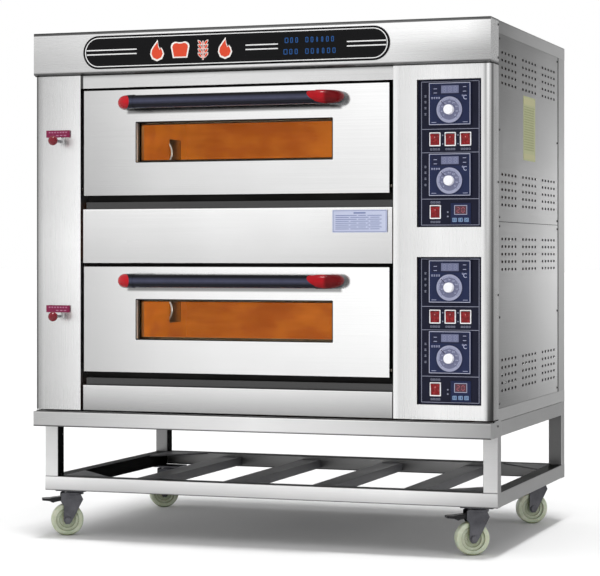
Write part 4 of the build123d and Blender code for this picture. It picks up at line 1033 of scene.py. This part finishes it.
def dial_marks(deck, heat):
    """Scale ring, graduations and numbers on a dial, and its knob's pointer line."""
    node = f"{deck}_{heat}_dial"
    _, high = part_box(node)
    middle = centre_of(node)
    face = (middle.x, high.y - 22.2 * MM, middle.z)
    ring = Marks(face)
    ring.ring(0, 0, 34.6, 27)
    ring.finish(f"{node}_scale_ring", ink("9c9fb8", 0.25), node)
    ticks = Marks(face, proud=2 * PROUD)
    for i in range(41):
        turn = math.radians(225 - i * 6.75)
        inner = 25.5 if i % 5 == 0 else 28.5
        start = (inner * math.cos(turn), inner * math.sin(turn))
        end = (31.5 * math.cos(turn), 31.5 * math.sin(turn))
        ticks.stroke(start, end, 0.7 if i % 5 == 0 else 0.4)
    ticks.finish(f"{node}_graduations", ink("3a3f66"), node)
    numbers = Marks(face, proud=2 * PROUD)
    for i, text in enumerate(("0", "50", "100", "150", "200", "250", "300", "350", "400")):
        turn = math.radians(225 - i * 33.75)
        x, z = 21 * math.cos(turn), 21 * math.sin(turn)
        for k, value in enumerate(text):
            if value in "01235":
                numbers.digit(value, x + (k - (len(text) - 1) / 2) * 2.6, z, 3.0, 0.45)
    numbers.finish(f"{node}_numbers", ink("c9cce4"), node)
    pointer = Marks(face, proud=3 * PROUD)
    pointer.stroke((-12, 12), (-22.5, 22.5), 1.6)
    pointer.finish(f"{node}_pointer_line", ink("2b2440"), node)


def timer_marks(deck, floor):
    """Display, digits and key symbols of one timer."""
    middle = centre_of(f"{deck}_timer_middle_key")
    _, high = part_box("control_plates")
    centre = Vector((middle.x, high.y - 5 * MM, floor + 36 * MM))
    rim = Marks(centre)
    rim.frame(0, 10, 35, 25, 1.5, 1)
    rim.finish(f"{deck}_timer_display_rim", ink("a9adc4"))
    panel = Marks(centre)
    panel.rectangle(0, 10, 31, 21)
    panel.finish(f"{deck}_timer_display", ink("5a3a44", 0.2))
    digits = Marks(centre, proud=2 * PROUD)
    for i, value in enumerate("20"):
        digits.digit(value, -6.5 + i * 13, 10, 13, 2.2)
    digits.finish(f"{deck}_timer_digits", ink("9c5560"))
    for name in ("left", "middle", "right"):
        node = f"{deck}_timer_{name}_key"
        key_low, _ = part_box(node)
        spot = centre_of(node)
        symbol = Marks((spot.x, key_low.y, spot.z))
        symbol.frame(0, 0, 11.6, 10.2, 1.1, 1.5)
        if name == "left":
            for z in (0, 2.6, -2.6):
                symbol.rectangle(0, z, 6, 1.2)
        elif name == "middle":
            symbol.arc(0, 0, 2.8, 1.1, 40, 320)
            symbol.stroke((0, -3.6), (0, 3.8), 1.1, base=PROUD / 2)
        else:
            symbol.ring(0, 0.3, 3.2, 2.1, steps=24)
            symbol.stroke((1, -1.6), (4.0, -3.4), 1.1)
        symbol.finish(f"{node}_symbol", ink("8fa9c9"), node)


def rocker_marks(deck):
    """A pale dash moulded on each rocker's upper tread."""
    for name in ("light", "ignition", "buzzer", "mains"):
        node = f"{deck}_{name}_rocker"
        low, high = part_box(node)
        spot = (low + high) / 2
        tilt = math.radians(8)
        slope = math.radians(17)
        up = Vector((0, math.sin(slope - tilt), math.cos(slope - tilt)))
        marks = Marks((spot.x, low.y + 1.9 * MM, spot.z + 7.5 * MM), up=up, proud=0.4 * MM)
        marks.rectangle(0, 0, 1.4, 6, base=-0.2 * MM)
        marks.finish(f"{node}_on_mark", ink("e5a3a0"), node)


def make_control_marks():
    for deck in DECKS:
        mains = centre_of(f"{deck}_mains_rocker")
        floor = mains.z - 40.5 * MM
        x = centre_of(f"{deck}_ignition_rocker").x
        plate_marks(deck, floor, x)
        for heat in ("bottom_heat", "top_heat"):
            controller_marks(deck, heat)
            dial_marks(deck, heat)
        timer_marks(deck, floor)
        rocker_marks(deck)


# ---- Trim ---------------------------------------------------------------------------


def make_window_trims():
    """A thin dark gasket round each window on the door's face, and a lining down its reveal with painted
    shade.
    """
    rubber = moulded("window_gasket", "1c1c1e", 0.5, shine=0.1)
    reveal = reveal_finish()
    for deck in DECKS:
        low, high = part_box(f"{deck}_door_glass")
        skin_low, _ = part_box(f"{deck}_door_skin")
        lap = 9
        width = (high.x - low.x) / MM - 2 * lap
        height = (high.z - low.z) / MM - 2 * lap
        centre = ((low.x + high.x) / 2, skin_low.y, (low.z + high.z) / 2)
        body = f"{deck}_door"
        edge = Marks(centre, proud=0.5 * MM)
        edge.frame(0, 0, width + 3, height + 3, 1.6, 2.5)
        edge.finish(f"{deck}_window_gasket", rubber, body)
        # the reveal lining carries painted shade
        lining = Marks((centre[0], low.y - 0.1 * MM, centre[2]), proud=19 * MM)
        lining.frame(0, 0, width - 0.1, height - 0.1, 1.2)
        lining.finish(f"{deck}_window_reveal", reveal, body)


def reveal_finish():
    """The folded steel of the window's opening, with painted light and shade: near black on its top, bottom
    and front faces, grey-brown at its sides with a pale strip at their front edge as a painted highlight.
    """
    g = Graph("window_reveal", Specular_IOR_Level=0.1)
    fine = g.noise((900.0, 60.0, 900.0))
    sides = g.sideways()
    outer = g.ramp(g.along((0, 1, 0)), -0.417, -0.416, 1.0, 0.0)
    tint = g.mix(outer, hex_colour("5f564e"), hex_colour("e8e6e2"))
    tint = g.mix(sides, hex_colour("0e0d0c"), tint)
    g.colour(g.scaled(tint, g.span(fine, 0.3, 0.7, 0.93, 1.05)))
    g.roughness(g.span(fine, 0.3, 0.7, 0.4, 0.55))
    return g.material


def make_seams():
    """Painted shadow: dark strips where the side sheets meet their returns and each other, for the shade in
    those seams.
    """
    # dark strips painted as the shadow in the seams
    shadow_strips = moulded("painted_seam_shadow", "161617", 0.6, shine=0.1)
    low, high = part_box("side_panels")
    tall = (high.z - low.z) / MM
    deep = (high.y - low.y) / MM
    for side, name in ((-1, "left"), (1, "right")):
        x = low.x if side < 0 else high.x
        face = (x, (low.y + high.y) / 2, (low.z + high.z) / 2)
        seams = Marks(face, right=(0, side, 0), proud=0.5 * MM)
        for across in (-deep / 2 + 0.6, deep / 2 - 0.6):
            seams.rectangle(side * across, 0, 1.2, tall)
        seams.rectangle(0, (0.895 - face[2]) / MM, deep, 1.4, base=-0.3 * MM)
        seams.finish(f"{name}_panel_seams", shadow_strips)


# ---- Stage, lights and camera -------------------------------------------------------


def make_floor():
    size = 90.0
    mesh = bmesh.new()
    corners = [mesh.verts.new((x * size, y * size, 0)) for x, y in ((-1, -1), (1, -1), (1, 1), (-1, 1))]
    mesh.faces.new(corners)
    data = bpy.data.meshes.new("floor")
    mesh.to_mesh(data)
    mesh.free()
    g = Graph("floor_paint", Roughness=0.9)
    g.colour(g.scaled(hex_colour("ececec"), g.span(g.noise((3.0, 3.0, 3.0)), 0.3, 0.7, 0.995, 1.005)))
    data.materials.append(g.material)
    floor = bpy.data.objects.new("floor", data)
    bpy.context.scene.collection.objects.link(floor)


def make_world():
    """A white studio, dimmer high up behind the oven."""
    world = bpy.data.worlds.new("studio")
    world.use_nodes = True
    bpy.context.scene.world = world
    tree = world.node_tree
    nodes, links = tree.nodes, tree.links
    background = nodes["Background"]
    direction = nodes.new("ShaderNodeSeparateXYZ")
    links.new(nodes.new("ShaderNodeTexCoord").outputs["Generated"], direction.inputs[0])

    def span(source, low, high, to_low, to_high):
        node = nodes.new("ShaderNodeMapRange")
        node.interpolation_type = "SMOOTHSTEP"
        links.new(source, node.inputs[0])
        for value, socket in zip((low, high, to_low, to_high), list(node.inputs)[1:5]):
            socket.default_value = value
        return node.outputs[0]

    def product(a, b):
        node = nodes.new("ShaderNodeMath")
        node.operation = "MULTIPLY"
        links.new(a, node.inputs[0])
        links.new(b, node.inputs[1])
        return node.outputs[0]

    up_behind = product(span(direction.outputs[2], 0.14, 0.5, 0.0, 1.0),
                        span(direction.outputs[1], -0.1, 0.5, 0.0, 1.0))
    right_behind = product(span(direction.outputs[0], -0.1, 0.3, 0.0, 1.0),
                           span(direction.outputs[1], 0.2, 0.7, 0.0, 1.0))
    dim = product(span(up_behind, 0.0, 1.0, 1.0, 0.3), span(right_behind, 0.0, 1.0, 1.0, 0.62))
    background.inputs["Color"].default_value = (1.0, 1.0, 1.0, 1.0)
    links.new(dim, background.inputs["Strength"])


def make_lights():
    sun = bpy.data.objects.new("overhead_sun", bpy.data.lights.new("overhead_sun", "SUN"))
    sun.data.energy = 1.9
    sun.data.angle = math.radians(9)
    sun.rotation_mode = "QUATERNION"
    sun.rotation_quaternion = Vector((-0.06, 0.12, -1)).to_track_quat("-Z", "Y")
    bpy.context.scene.collection.objects.link(sun)
    for deck in DECKS:
        low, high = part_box(f"{deck}_door_skin")
        x = (low.x + high.x) / 2
        lamp = bpy.data.objects.new(f"{deck}_glow", bpy.data.lights.new(f"{deck}_glow", "AREA"))
        lamp.data.shape = "RECTANGLE"
        lamp.data.size = 0.7
        lamp.data.size_y = 0.2
        lamp.data.energy = 2.2
        lamp.data.color = (1.0, 0.6, 0.24)
        lamp.location = (x, low.y + 0.24, high.z - 0.028)
        bpy.context.scene.collection.objects.link(lamp)


def make_camera():
    data = bpy.data.cameras.new("camera")
    data.lens = 124.02
    data.sensor_width = 36.0
    data.shift_y = -33.7 / 600
    camera = bpy.data.objects.new("camera", data)
    camera.location = (1.994, -5.708, 0.808)
    camera.rotation_mode = "QUATERNION"
    camera.rotation_quaternion = Vector((-0.3326, 0.9431, 0.0)).to_track_quat("-Z", "Y")
    bpy.context.scene.collection.objects.link(camera)
    bpy.context.scene.camera = camera


def main():
    bpy.context.scene.view_settings.view_transform = "Standard"
    make_camera()
    make_world()
    make_lights()
    make_floor()
    finish_casing()
    finish_castors()
    finish_doors()
    finish_controls()
    make_sign()
    make_instruction_label()
    make_damper_labels()
    make_side_label()
    make_control_marks()
    make_window_trims()
    make_seams()


main()
